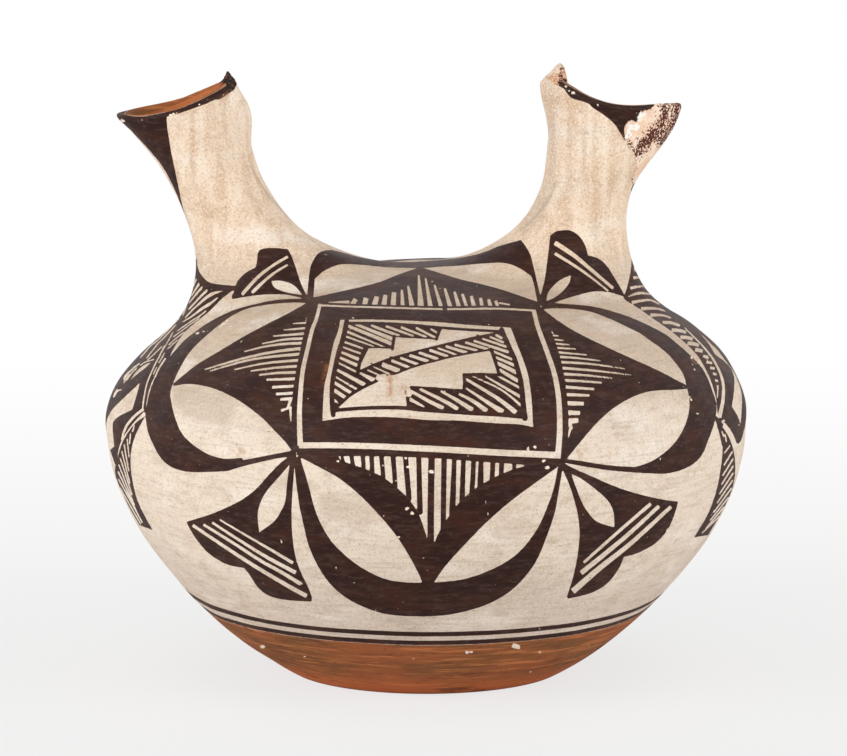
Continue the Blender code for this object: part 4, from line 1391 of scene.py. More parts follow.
@dataclass
class Vessel:
    """The whole pot as one skin, cut into the pieces that the potter joined."""

    body: BodyForm = field(default_factory=BodyForm)
    spouts: tuple[SpoutForm, ...] = (LEFT_SPOUT, RIGHT_SPOUT)
    pattern: Pattern = field(default_factory=lambda: Pattern(StudioCamera()))
    hand: HandWork = field(default_factory=HandWork)
    front_half_angle: float = math.radians(52.0)
    front_spacing: float = 0.00042
    back_spacing: float = 0.00064
    row_spacing: float = 0.00050
    foot_row_spacing: float = 0.0012
    painted_from: float = 0.019
    inner_rows: int = 5
    disc_shares: tuple[float, ...] = (0.75, 0.45, 0.15)
    seat_shares: tuple[float, ...] = (0.04, 0.35, 0.7, 0.96)
    courses: tuple[str, ...] = COURSES
    spout_columns: int = 400
    neck_rows: int = 62
    waist_rows: int = 26
    bore_rows: int = 24
    coil_rows: int = 25
    edge_rows: int = 11
    edge_bluntness: float = 0.6
    seat_drop: float = 0.00015
    joint_reach: float = 0.0090
    joint_rounds: int = 30
    rim_band: float = 0.0004
    rim_black: float = 0.0017
    lip_black: float = 2.0
    lip_black_narrowness: int = 8
    under_spacing: float = 0.004
    under_margin: float = 0.003
    crown_front: tuple[float, float] = (0.066, -0.010)
    crown_spacing: tuple[float, float] = (0.00042, 0.00058)
    crown_margin: float = 0.6
    joint_softness: float = 0.6
    unmarked: float = 0.01
    skin: Skin = field(default_factory=Skin)
    rim_bands: list[tuple[str, Points, Points, bool]] = field(default_factory=list)

    def joints(self) -> list[float]:
        """The heights of the joints between base, courses and crown, from the solids."""
        lows = [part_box(name)[0].z for name in (*self.courses, "crown")]
        highs = [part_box(name)[1].z for name in ("base_bowl", *self.courses)]
        return [(low + high) / 2 for low, high in zip(lows, highs)]

    def azimuths(self) -> Points:
        """The directions of the wall's columns, which lie closer together at the front."""
        middle, half, round_all = -math.pi / 2, self.front_half_angle, 2 * math.pi
        fine = round(2 * half * self.body.belly_radius / self.front_spacing)
        coarse = round((round_all - 2 * half) * self.body.belly_radius / self.back_spacing)
        front = np.linspace(middle - half, middle + half, fine, endpoint=False)
        back = np.linspace(middle + half, middle - half + round_all, coarse, endpoint=False)
        return np.concatenate([front, back])

    def rows(self, low: float, high: float, spacing: float) -> Points:
        """Evenly spaced lengths between two, both included."""
        return np.linspace(low, high, max(2, round((high - low) / spacing) + 1))

    def build_body(self) -> tuple[Points, Points]:
        """Adds the base and the courses.

        Returns:
            The numbers of the outer and the inner top row, on which the crown stands.
        """
        azimuth = self.azimuths()
        lengths = [self.body.length_at(height) for height in self.joints()]
        foot = self.skin.add(self.body.ring(0.0, azimuth))
        outer_row, inner_row = self.build_base(azimuth, foot, lengths[0])
        for name, low, high in zip(self.courses, lengths, lengths[1:]):
            steps = self.rows(low, high, self.row_spacing)[1:]
            wall = [outer_row, *[self.skin.add(self.body.ring(step, azimuth)) for step in steps]]
            self.skin.cover(name, strip(np.stack(wall)), Layer.OUTSIDE)
            steps = np.linspace(low, high, self.inner_rows)[1:]
            lining = [inner_row]
            lining += [self.skin.add(self.body.ring(step, azimuth, self.body.wall)) for step in steps]
            self.skin.cover(name, strip(np.stack(lining)), Layer.INSIDE, flip=True)
            self.skin.close(name, strip(np.stack([outer_row, inner_row])), flip=True)
            self.skin.close(name, strip(np.stack([wall[-1], lining[-1]])))
            outer_row, inner_row = wall[-1], lining[-1]
        return outer_row, inner_row

    def build_base(self, azimuth: Points, foot: Points, top: float) -> tuple[Points, Points]:
        """Adds the base bowl.

        Args:
            azimuth: The columns' directions.
            foot: The numbers of the foot's row.
            top: The length along the outline of the first joint.

        Returns:
            The numbers of the outer and the inner row at that joint.
        """
        painted_from = self.body.length_at(self.painted_from)
        low = self.rows(0.0, painted_from, self.foot_row_spacing)[1:]
        steps = [*low, *self.rows(painted_from, top, self.row_spacing)[1:]]
        wall = [foot, *[self.skin.add(self.body.ring(step, azimuth)) for step in steps]]
        self.skin.cover("base_bowl", strip(np.stack(wall)), Layer.OUTSIDE)
        floor_from = self.body.length_at(self.body.floor)
        lining = []
        for step in np.linspace(floor_from, top, 2 * self.inner_rows):
            lining.append(self.skin.add(self.body.ring(step, azimuth, self.body.wall)))
        self.skin.cover("base_bowl", strip(np.stack(lining)), Layer.INSIDE, flip=True)
        under = self.disc(foot, 0.0)
        self.skin.cover("base_bowl", under, Layer.OUTSIDE, flip=True)
        self.skin.cover("base_bowl", self.disc(lining[0], None), Layer.INSIDE)
        self.skin.close("base_bowl", strip(np.stack([wall[-1], lining[-1]])))
        return wall[-1], lining[-1]

    def disc(self, rim: Points, height: float | None) -> Points:
        """Triangles of a flat disc inside a row of points.

        Args:
            rim: The numbers of the row's points.
            height: The disc's height, or None to keep the row's own.

        Returns:
            Triangles that face upwards.
        """
        points = np.concatenate(self.skin.points)[rim]
        if height is not None:
            points = np.column_stack([points[:, :2], np.full(len(points), height)])
        rows = [rim, *[self.skin.add(points * (share, share, 1.0)) for share in self.disc_shares]]
        middle = self.skin.add(points.mean(axis=0))
        last = rows[-1]
        fan = np.stack([last, np.roll(last, -1), np.full(len(last), middle)], axis=1)
        return np.concatenate([strip(np.stack(rows)), fan])

    def build_spout(self, spout: SpoutForm) -> tuple[Points, Points]:
        """Adds one spout's neck and rim.

        Args:
            spout: The spout's form.

        Returns:
            The numbers of its skirt's edge and of its bore's edge on the crown.
        """
        azimuth = np.linspace(0, 2 * math.pi, self.spout_columns, endpoint=False)
        if spout.sign < 0:
            azimuth = -azimuth
        start, bore = spout.coil_start(self.body, azimuth), spout.bore_start(self.body, azimuth)
        below = np.repeat(np.linspace(0, 1, self.neck_rows)[:, None], len(azimuth), axis=1)
        above = 1 + (start - 1) * np.linspace(0, 1, self.waist_rows)[1:, None]
        t = np.concatenate([below, above])
        neck = f"{spout.side}_neck"
        wall = self.skin.add(spout.outer(self.body, azimuth, t))
        self.skin.cover(neck, strip(wall), Layer.OUTSIDE)
        climb = bore + (1 - bore) * np.linspace(0, 1, self.bore_rows)[:, None]
        t = np.concatenate([climb, above[::2][:-1], start[None]])
        lining = self.skin.add(spout.inner(self.body, azimuth, t))
        self.skin.cover(neck, strip(lining), Layer.INSIDE, flip=True)
        self.skin.close(neck, strip(np.stack([wall[-1], lining[-1]])))
        self.build_rim(spout, azimuth, start, wall[-1], lining[-1])
        self.build_seat(neck, wall[0], lining[0])
        return wall[0], lining[0]

    def build_seat(self, neck: str, edge: Points, bore: Points) -> None:
        """Adds the hidden face on which a neck stands on the crown."""
        rows = self.seat_rows(edge, bore, self.seat_drop)
        self.skin.close(neck, strip(np.stack([edge, *rows, bore])), flip=True)

    def seat_rows(self, edge: Points, bore: Points, drop: float) -> list[Points]:
        """Rows of points from a skirt's edge to its bore, a little under the crown's surface."""
        points = np.concatenate(self.skin.points)
        rows = []
        for share in self.seat_shares:
            plan = points[edge][:, :2] * (1 - share) + points[bore][:, :2] * share
            rows.append(self.skin.add(self.body.top(plan) - (0.0, 0.0, drop)))
        return rows

    def build_rim(
        self, spout: SpoutForm, azimuth: Points, start: Points, outer: Points, inner: Points
    ) -> None:
        """Adds a spout's last coil with its rounded edge.

        Args:
            spout: The spout's form.
            azimuth: The columns' directions.
            start: The curve parameter of the joint under the coil, for each column.
            outer: The numbers of the joint's outer row.
            inner: The numbers of the joint's inner row.
        """
        rim = f"{spout.side}_rim"
        share = np.linspace(0, 1, self.coil_rows)[1:, None]
        t = start + (2 - start) * share
        wall, lining = spout.rim_walls(self.body, azimuth, t, share)
        run = wall[-1] - wall[-3]
        fuller = 1 + spout.lip_round * np.maximum(0.0, np.cos(azimuth))[:, None]
        rise = spout.rim_round * fuller * run / np.linalg.norm(run, axis=1, keepdims=True)
        parts = np.linspace(0, 1, self.edge_rows)[1:-1, None, None]
        bulge = np.sin(math.pi * parts) ** self.edge_bluntness
        over = wall[-1] + parts * (lining[-1] - wall[-1]) + bulge * rise
        outside = self.skin.add(np.concatenate([wall, over]))
        inside = self.skin.add(lining[::-1])
        self.skin.cover(rim, strip(np.concatenate([outer[None], outside, inside[:1]])), Layer.OUTSIDE)
        self.skin.cover(rim, strip(np.concatenate([inside, inner[None]])), Layer.INSIDE)
        self.skin.close(rim, strip(np.stack([outer, inner])), flip=True)
        steps = np.linalg.norm(np.diff(wall[::-1], axis=0), axis=-1)
        below = np.concatenate([np.zeros((1, len(azimuth))), np.cumsum(steps, axis=0)])[::-1]
        ridge = np.concatenate([wall[-1:], over, lining[-1:]])
        across = np.cumsum(np.linalg.norm(np.diff(ridge, axis=0), axis=-1), axis=0)
        over_numbers = np.concatenate([outside[len(wall) :], inside[:1]])
        self.rim_bands.append(("paint", outside[: len(wall)], below - self.rim_band, False))
        towards_lip = np.maximum(0.0, np.cos(azimuth)) ** self.lip_black_narrowness
        black = self.rim_black * (1 + self.lip_black * towards_lip)
        self.rim_bands.append(("paint", over_numbers, across - black, True))
        self.rim_bands.append(("slip", over_numbers, black - across, True))

    def build_crown(self, outer: Points, inner: Points, feet: list[tuple[Points, Points]]) -> None:
        """Adds the domed crown between the shoulder and the spouts.

        Args:
            outer: The numbers of the outer row that it stands on.
            inner: The numbers of the inner row.
            feet: The numbers of each spout's skirt edge and bore edge.
        """
        points = np.concatenate(self.skin.points)
        filling = self.crown_filling(points[outer], [points[edge] for edge, _ in feet])
        numbers = self.skin.add(self.body.top(filling))
        loops = [outer, *[edge for edge, _ in feet]]
        self.skin.cover("crown", self.triangulated(numbers, loops), Layer.OUTSIDE)
        self.skin.close("crown", strip(np.stack([outer, inner])), flip=True)
        holes = []
        for edge, bore in feet:
            seat = self.seat_rows(edge, bore, 2 * self.seat_drop)
            plan = points[bore][:, :2]
            lip = self.skin.add(self.body.top(plan) - (0.0, 0.0, 2 * self.seat_drop))
            under = self.skin.add(self.body.top(plan) - (0.0, 0.0, self.body.wall))
            self.skin.close("crown", strip(np.stack([edge, *seat, lip])))
            self.skin.cover("crown", strip(np.stack([lip, under])), Layer.INSIDE)
            holes.append(under)
        reach = self.body.belly_radius
        side = slice(-reach, reach, self.under_spacing)
        grid = np.mgrid[side, side].reshape(2, -1).T
        limit = np.hypot(*points[inner][:, :2].T).min() - self.under_margin
        grid = grid[np.hypot(*grid.T) < limit]
        for spout in self.spouts:
            away = grid - (spout.foot_x, 0.0)
            grid = grid[(away[:, 0] / spout.foot_long) ** 2 + (away[:, 1] / spout.foot_wide) ** 2 > 1.0]
        numbers = self.skin.add(self.body.top(grid) - (0.0, 0.0, self.body.wall))
        self.skin.cover("crown", self.triangulated(numbers, [inner, *holes]), Layer.INSIDE, flip=True)

    def crown_filling(self, outer: Points, edges: list[Points]) -> Points:
        """Plan points that fill the crown's outer surface, closer together at the front."""
        reach = np.hypot(*outer[:, :2].T).max()
        found = []
        aside, ahead = self.crown_front
        edge = self.body.length_at(self.joints()[-1])
        grids = ((*self.crown_spacing, True), (self.back_spacing, self.back_spacing, False))
        for x_step, y_step, front in grids:
            x, y = np.mgrid[-reach:reach:x_step, -reach:reach:y_step]
            x[:, ::2] += x_step / 2
            plan = np.stack([x.ravel(), y.ravel()], axis=1)
            in_front = (abs(plan[:, 0]) < aside) & (plan[:, 1] < ahead)
            plan = plan[in_front == front]
            margin = self.crown_margin * x_step
            ring = self.body.ring(edge, np.arctan2(plan[:, 1], plan[:, 0]))
            inside = np.hypot(*plan.T) < np.hypot(*ring[:, :2].T) - margin
            for spout in self.spouts:
                away = plan - (spout.foot_x, 0.0)
                long, wide = spout.foot_long + margin, spout.foot_wide + margin
                inside &= (away[:, 0] / long) ** 2 + (away[:, 1] / wide) ** 2 > 1.0
            found.append(plan[inside])
        return np.concatenate(found)

    def triangulated(self, filling: Points, loops: list[Points]) -> Points:
        """Triangles between loops of points, seen from above.

        Args:
            filling: The numbers of the points between the loops.
            loops: The numbers of the outer loop's points, then of each hole's.

        Returns:
            Triangles that face upwards.
        """
        numbers = np.concatenate([filling, *loops])
        plan = np.concatenate(self.skin.points)[numbers][:, :2]
        edges, owner, start = [], np.zeros(len(numbers), int), len(filling)
        for which, loop in enumerate(loops):
            count = len(loop)
            edges += [(start + i, start + (i + 1) % count) for i in range(count)]
            owner[start : start + count] = which + 1
            start += count
        _, _, faces, origins, _, _ = delaunay_2d_cdt([Vector(p) for p in plan.tolist()], edges, [], 0, 1e-7)
        source = np.array([origin[0] for origin in origins])
        corners = source[np.array([face for face in faces if len(face) == 3])]
        owners = owner[corners]
        in_hole = (owners[:, 0] > 1) & (owners == owners[:, :1]).all(axis=1)
        corners = corners[~in_hole]
        a, b, c = plan[corners[:, 0]], plan[corners[:, 1]], plan[corners[:, 2]]
        turn = (b[:, 0] - a[:, 0]) * (c[:, 1] - a[:, 1]) - (b[:, 1] - a[:, 1]) * (c[:, 0] - a[:, 0])
        corners = np.where((turn < 0)[:, None], corners[:, ::-1], corners)
        return numbers[corners[abs(turn) > 1e-13]]

    def joint_share(self, points: Points) -> Points:
        """How far each point belongs to the joint between a spout's skirt and the crown."""
        share = np.zeros(len(points))
        for spout in self.spouts:
            away = points[:, :2] - (spout.foot_x, 0.0)
            round_about = np.hypot(away[:, 0] / spout.foot_long, away[:, 1] / spout.foot_wide)
            size = np.hypot(away[:, 0], away[:, 1]) / np.maximum(round_about, 1e-6)
            distance = abs(round_about - 1) * size
            near = np.clip(1 - distance / self.joint_reach, 0, 1)
            above = points[:, 2] - self.body.top(points[:, :2])[:, 2]
            share = np.maximum(share, near * (above > -0.0001) * (above < 2 * self.joint_reach))
        return self.joint_softness * share

    def build(self) -> None:
        """Forms the whole skin, rubs its joints smooth, moves it as the potter's hands did and finds which
        points lie outside.
        """
        outer, inner = self.build_body()
        feet = [self.build_spout(spout) for spout in self.spouts]
        self.build_crown(outer, inner, feet)
        points = np.concatenate(self.skin.points)
        shown = self.skin.shown()
        points = smoothed(points, shown, self.joint_share(points), self.joint_rounds)
        self.points = self.hand.moved(points)
        self.normals = vertex_normals(self.points, shown)
        self.marked = np.zeros(len(self.points), bool)
        for parts in self.skin.smooth.values():
            for corners, layer in parts:
                self.marked[corners] |= layer is Layer.OUTSIDE

    def read_pattern(self) -> dict[str, Points]:
        """The attributes of the skin's points.

        Returns:
            Distances in metres, under the names that the finishes read.
        """
        places, rings = self.points[self.marked], PaintedRings()
        read = {name: self.pattern.distance(places, marks) for name, marks in wear_and_shade_marks().items()}
        paint = self.pattern.distance(places, self.pattern.painted())
        read["paint"] = np.minimum(paint, rings.distance(places))
        read["slip"] = rings.slip_distance(places)
        found = {}
        for name, values in read.items():
            found[name] = np.full(len(self.points), self.unmarked)
            found[name][self.marked] = values
        for name, numbers, distance, outright in self.rim_bands:
            found[name][numbers] = distance if outright else np.minimum(found[name][numbers], distance)
        return found

    def pieces(self) -> list[bpy.types.Object]:
        """Cuts the skin into its pieces and gives each its finishes."""
        attributes = self.read_pattern()
        outside, inside = PaintedSlip().dress(), BareClay().dress()
        made = []
        for name, parts in self.skin.smooth.items():
            parts = parts + [(hidden, Layer.INSIDE) for hidden in self.skin.hidden.get(name, [])]
            corners = np.concatenate([corners for corners, _ in parts])
            layers = np.concatenate([np.full(len(corners), layer.value) for corners, layer in parts])
            kept, index = np.unique(corners, return_inverse=True)
            data = triangle_mesh(name, self.points[kept], index.reshape(-1, 3), self.normals[kept])
            data.materials.append(outside)
            data.materials.append(inside)
            data.polygons.foreach_set("material_index", layers.astype(np.int32))
            write_attributes(data, {title: values[kept] for title, values in attributes.items()})
            made.append(place(f"{name}_clay", data, name))
        return made


def write_attributes(data: bpy.types.Mesh, attributes: dict[str, Points]) -> None:
    """Writes one value for each point under each attribute's name."""
    for title, values in attributes.items():
        attribute = data.attributes.new(title, "FLOAT", "POINT")
        attribute.data.foreach_set("value", values.astype(np.float32))


def triangle_mesh(name: str, points: Points, triangles: Points, normals: Points) -> bpy.types.Mesh:
    """Makes a mesh of triangles.

    Args:
        name: The mesh's name.
        points: Its points.
        triangles: Its triangles, as point numbers.
        normals: The direction that the surface faces at each point.

    Returns:
        The mesh, shaded smooth.
    """
    data = bpy.data.meshes.new(name)
    data.vertices.add(len(points))
    data.vertices.foreach_set("co", points.astype(np.float32).ravel())
    data.loops.add(3 * len(triangles))
    data.loops.foreach_set("vertex_index", triangles.astype(np.int32).ravel())
    data.polygons.add(len(triangles))
    data.polygons.foreach_set("loop_start", np.arange(0, 3 * len(triangles), 3, dtype=np.int32))
    data.update(calc_edges=True)
    data.validate()
    data.normals_split_custom_set_from_vertices(normals.tolist())
    return data


SLOTS = {
    "base_bowl": "orange_clay",
    **dict.fromkeys((*COURSES, "crown", "left_neck", "right_neck"), "cream_slip"),
    **dict.fromkeys(("left_rim", "right_rim"), "rim_paint"),
    **dict.fromkeys(("left_handle_root", "right_handle_root"), "broken_clay"),
}


def place(name: str, data: bpy.types.Mesh, node: str) -> bpy.types.Object:
    """Puts a piece in the scene in place of its solid.

    Args:
        name: The piece's name.
        data: Its mesh, in the jar's own frame.
        node: The solid that it stands for.

    Returns:
        The piece.
    """
    made = bpy.data.objects.new(name, data)
    bpy.context.scene.collection.objects.link(made)
    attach(made, "root")
    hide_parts(node)
    LOG.info("%s: %d triangles", name, len(data.polygons))
    return made


@dataclass(frozen=True)
class HandleRoot:
    """The stub that the broken handle left on the inner side of a spout's rim."""

    spout: SpoutForm
    stands_out: float
    swell_at: float
    swell_top: float
    tear: float
    tear_narrowness: float
    tip_at: float
    tip_bluntness: float
    torn_from: float
    charred: float
    fresh: str
    stands_in: float = 0.0
    half_angle: float = math.radians(31.0)
    lowest: float = 1.30
    highest: float = 1.985
    sunk: float = 0.0004
    crumb: float = 0.0009
    crumb_depth: float = 0.00030
    crumb_seed: int = 5
    finer_crumbs: float = 3.1
    finer_depth: float = 0.5
    torn_soft: float = 0.0012
    side_bluntness: float = 0.7
    tear_aside: float = 0.15
    edge_rise: float = 0.0004
    edge_turn: float = 5.0
    tuck_row: int = -7
    tuck_share: float = 0.3
    tuck_towards: int = -4
    turns: int = 81
    rows: int = 40
    top_rows: int = 22

    def swell(self, climb: Points, spread: float) -> Points:
        """How far the stub stands out of the wall, at shares of its height."""
        rise = np.clip(climb / self.swell_at, 0, 1)
        fall = np.clip((climb - self.swell_at) / max(1 - self.swell_at, 1e-6), 0, 1)
        share = rise * rise * (3 - 2 * rise) * (1 - (1 - self.swell_top) * fall * fall * (3 - 2 * fall))
        return (self.sunk + self.stands_out) * spread * share - self.sunk

    def section(self, vessel: Vessel, turn: float) -> tuple[Points, Points]:
        """One cross-section of the stub, up its outside, over its torn top and back down inside the wall.

        Args:
            vessel: The pot that it stands on.
            turn: Where the section lies across the stub, from -1 to 1.

        Returns:
            The section's points, and how torn each is.
        """
        azimuth = math.pi + turn * self.half_angle
        around = np.array([azimuth if self.spout.sign > 0 else -azimuth])
        levels = np.linspace(self.lowest, self.highest, self.rows)[:, None]
        start = self.spout.coil_start(vessel.body, around)
        share = np.clip((levels - start) / (2 - start), 0, 1)
        wall, lining = self.spout.rim_walls(vessel.body, around, levels, share)
        wall, lining = wall[:, 0], lining[:, 0]
        outwards = (wall - lining) / np.linalg.norm(wall - lining, axis=1, keepdims=True)
        climb = (levels[:, 0] - self.lowest) / (self.highest - self.lowest)
        spread = math.cos(turn * math.pi / 2) ** self.side_bluntness
        outside = wall + self.swell(climb, spread)[:, None] * outwards
        up = np.array([0.0, 0.0, 1.0])
        edge, far_edge = wall[-1], lining[-1] - self.stands_in * spread * outwards[-1]
        tallest = max(0.0, math.cos((turn - self.tear_aside) * math.pi / 2))
        height = self.tear * tallest**self.tear_narrowness
        edge_rise = self.spout.rim_round + self.edge_rise * spread
        over, torn = [], [np.zeros(len(outside))]
        for part in np.linspace(0, 1, self.top_rows)[1:]:
            tip = math.sin(math.pi * part ** (math.log(0.5) / math.log(self.tip_at))) ** self.tip_bluntness
            rise = edge_rise * min(1.0, self.edge_turn * part) + height * tip
            over.append(outside[-1] + part * (far_edge - outside[-1]) + up * rise)
            torn.append([1.0 if part > self.torn_from else 0.0])
        under = [far_edge - up * (self.sunk + 0.5 * self.stands_in * spread)]
        under.append(lining[self.tuck_row] + 2 * self.sunk * outwards[self.tuck_row])
        towards = self.tuck_share * (lining[self.tuck_towards] - edge)
        under.append(edge - self.sunk * (up + outwards[-1]) + towards)
        inside = wall[::-1] - 2 * self.sunk * outwards[::-1]
        torn.append(np.zeros(len(under) + len(inside)))
        return np.concatenate([outside, np.stack(over), np.stack(under), inside]), np.concatenate(torn)

    def build(self, vessel: Vessel) -> bpy.types.Object:
        """Makes the stub and dresses it.

        Args:
            vessel: The pot that it stands on.

        Returns:
            The piece.
        """
        sections = [self.section(vessel, turn) for turn in np.linspace(-1, 1, self.turns)]
        points = np.stack([section[0] for section in sections])
        torn = np.stack([section[1] for section in sections]).ravel()
        around = points.shape[1]
        numbers = np.arange(points.shape[0] * around).reshape(points.shape[:2])
        corners = [strip(numbers)]
        for row, flip in ((numbers[0], True), (numbers[-1], False)):
            middle = around // 2
            low, high = row[:middle], row[::-1][:middle]
            first = np.stack([low[:-1], low[1:], high[1:]], axis=1)
            second = np.stack([low[:-1], high[1:], high[:-1]], axis=1)
            cap = np.concatenate([first, second])
            corners.append(cap[:, ::-1] if flip else cap)
        if self.spout.sign > 0:
            corners = [c[:, ::-1] for c in corners]
        points = vessel.hand.moved(points.reshape(-1, 3))
        read = {name: vessel.pattern.distance(points, marks) for name, marks in wear_and_shade_marks().items()}
        read["paint"] = vessel.pattern.distance(points, vessel.pattern.painted())
        read["torn"] = np.where(torn > 0.5, -0.001, read["torn"])
        points = points + self.crumbs(points, np.clip(0.5 - read["torn"] / self.torn_soft, 0, 1))
        triangles = np.concatenate(corners)
        node = f"{self.spout.side}_handle_root"
        data = triangle_mesh(node, points, triangles, vertex_normals(points, triangles))
        data.materials.append(TornRoot(self.fresh, self.charred).dress())
        write_attributes(data, read)
        return place(f"{node}_clay", data, node)

    def crumbs(self, points: Points, rough: Points) -> Points:
        """The moves that make a torn surface crumbly, the same ones in each run."""
        noise.seed_set(self.crumb_seed)
        moves = np.zeros_like(points)
        for index in np.flatnonzero(rough > 0):
            there = Vector(points[index]) / self.crumb
            coarse = np.array(noise.noise_vector(there))
            fine = np.array(noise.noise_vector(self.finer_crumbs * there))
            moves[index] = rough[index] * self.crumb_depth * (coarse + self.finer_depth * fine)
        return moves


LEFT_ROOT = HandleRoot(
    LEFT_SPOUT,
    stands_out=0.0027,
    swell_at=0.55,
    swell_top=0.35,
    tear=0.0031,
    tear_narrowness=2.6,
    tip_at=0.78,
    tip_bluntness=0.9,
    torn_from=0.0,
    charred=0.40,
    fresh="#8f6040",
)

RIGHT_ROOT = HandleRoot(
    RIGHT_SPOUT,
    stands_out=0.0036,
    swell_at=1.0,
    swell_top=1.0,
    tear=0.0056,
    tear_narrowness=1.5,
    tip_at=0.76,
    tip_bluntness=0.75,
    torn_from=0.82,
    charred=0.52,
    fresh="#ecc0a0",
    stands_in=0.0022,
)


# Finishes


Socket = bpy.types.NodeSocket
Span = tuple[float, float]


def linear(code: str) -> tuple[float, float, float, float]:
    """Turns an sRGB hex colour into the linear values that the shaders use."""
    parts = [int(code[i : i + 2], 16) / 255 for i in (1, 3, 5)]
    parts = [part / 12.92 if part <= 0.04045 else ((part + 0.055) / 1.055) ** 2.4 for part in parts]
    return (*parts, 1.0)


def add_node(
    tree: bpy.types.NodeTree, kind: str, inputs: dict | None = None, **settings: object
) -> bpy.types.Node:
    """Adds a node to a material.

    Args:
        tree: The material's nodes.
        kind: The node's type, without its usual prefix.
        inputs: Values or sockets for its inputs, by name or number.
        settings: Its other settings.

    Returns:
        The node.
    """
    node = tree.nodes.new("ShaderNode" + kind)
    for name, value in settings.items():
        setattr(node, name, value)
    for name, value in (inputs or {}).items():
        if isinstance(value, bpy.types.NodeSocket):
            tree.links.new(value, node.inputs[name])
        else:
            node.inputs[name].default_value = value
    return node


@dataclass(frozen=True)
class Spots:
    """How random values around 0.5 are drawn out into spots or streaks.

    Spots begin at the value low and are full at high, or the other way round if they are at_low. A
    full spot shows as much as share says, and on the necks as much as neck_share says.
    """

    low: float
    high: float
    share: float = 1.0
    neck_share: float | None = None
    at_low: bool = False


@dataclass(frozen=True)
class Grain:
    """Random grain.

    One grain is so many millimetres across, and so many upright where that differs. Finer grains lie
    over it in as many sizes as detail says, as strong as rough says.
    """

    across: float
    upright: float | None = None
    detail: float = 2.0
    rough: float = 0.55
    spots: Spots = Spots(0.0, 1.0)


@dataclass
class Ground:
    """A material under construction, with the clay's own coordinates."""

    name: str

    def __post_init__(self) -> None:
        """Makes the material and its coordinates."""
        self.material = bpy.data.materials.new(self.name)
        self.material.use_nodes = True
        self.tree = self.material.node_tree
        self.shader = self.tree.nodes["Principled BSDF"]
        self.where = add_node(self.tree, "TexCoord").outputs["Object"]
        self.height = add_node(self.tree, "SeparateXYZ", {0: self.where}).outputs["Z"]

    def grain(self, grain: Grain) -> Socket:
        """The values of random grain."""
        sizes = (grain.across, grain.across, grain.upright or grain.across)
        scale = tuple(1 / MM / size for size in sizes)
        mapped = add_node(self.tree, "Mapping", {"Vector": self.where, "Scale": scale}).outputs[0]
        inputs = {"Vector": mapped, "Scale": 1.0, "Detail": grain.detail, "Roughness": grain.rough}
        return add_node(self.tree, "TexNoise", inputs).outputs["Fac"]

    def drawn_out(self, values: Socket, spots: Spots, neck: Socket | None = None) -> Socket:
        """How much the spots of random values show.

        Args:
            values: The values.
            spots: How they are drawn out.
            neck: How much a place belongs to the necks, where the spots have a share of their own.

        Returns:
            Shares from 0 to 1.
        """
        ends = (1.0, 0.0) if spots.at_low else (0.0, 1.0)
        found = self.between(values, (spots.low, spots.high), *ends)
        share = spots.share if neck is None else self.mixed(spots.share, spots.neck_share, neck)
        return self.sum(found, share, "MULTIPLY")

    def spots(self, grain: Grain, neck: Socket | None = None) -> Socket:
        """How much the spots of a grain show."""
        return self.drawn_out(self.grain(grain), grain.spots, neck)

    def measured(self, name: str) -> Socket:
        """A distance that the mesh carries, in metres."""
        return add_node(self.tree, "Attribute", attribute_name=name).outputs["Fac"]

    def ragged(self, name: str, tremor: Socket, size: float) -> Socket:
        """A distance that the mesh carries, made uneven by a tremor of some size in metres."""
        return self.sum(self.measured(name), self.sum(tremor, size, "MULTIPLY"))

    def tremor(self, grain: Grain) -> Socket:
        """The values of random grain, brought down to lie around 0."""
        return self.sum(self.grain(grain), 0.5, "SUBTRACT")

    def between(self, value: Socket, span: Span, at_low: float = 0.0, at_high: float = 1.0) -> Socket:
        """A soft step over a span of values: at_low up to its low end, at_high from its high end on."""
        inputs = {"Value": value, "From Min": span[0], "From Max": span[1]}
        inputs |= {"To Min": at_low, "To Max": at_high}
        return add_node(self.tree, "MapRange", inputs, interpolation_type="SMOOTHSTEP").outputs[0]

    def within(self, distance: Socket, span: Span, most: float = 1.0) -> Socket:
        """How much a mark shows: most inside a span of distances, nothing beyond it."""
        return self.between(distance, span, most, 0.0)

    def sum(self, first: Socket, second: Socket | float, operation: str = "ADD") -> Socket:
        """One sum of two values."""
        return add_node(self.tree, "Math", {0: first, 1: second}, operation=operation).outputs[0]

    def cover(self, under: Socket | str, over: Socket | str, share: Socket | float) -> Socket:
        """Lays one colour over another.

        Args:
            under: The lower colour.
            over: The upper colour.
            share: How much of the upper one shows.

        Returns:
            The colour that the eye sees.
        """
        colours = [linear(c) if isinstance(c, str) else c for c in (under, over)]
        inputs = {0: share, 6: colours[0], 7: colours[1]}
        return add_node(self.tree, "Mix", inputs, data_type="RGBA").outputs[2]

    def mixed(self, low: Socket | float, high: Socket | float, share: Socket) -> Socket:
        """A value between two others."""
        return add_node(self.tree, "Mix", {0: share, 2: low, 3: high}, data_type="FLOAT").outputs[0]

    def relief(self, height: Socket, depth: float) -> None:
        """Gives the surface a relief whose height runs over a depth in metres."""
        bump = add_node(self.tree, "Bump", {"Height": height, "Distance": depth, "Strength": 1.0})
        self.set("Normal", bump.outputs[0])

    def set(self, name: str, value: Socket | float) -> None:
        """Sets or links one of the surface's own values."""
        if isinstance(value, Socket):
            self.tree.links.new(value, self.shader.inputs[name])
        else:
            self.shader.inputs[name].default_value = value


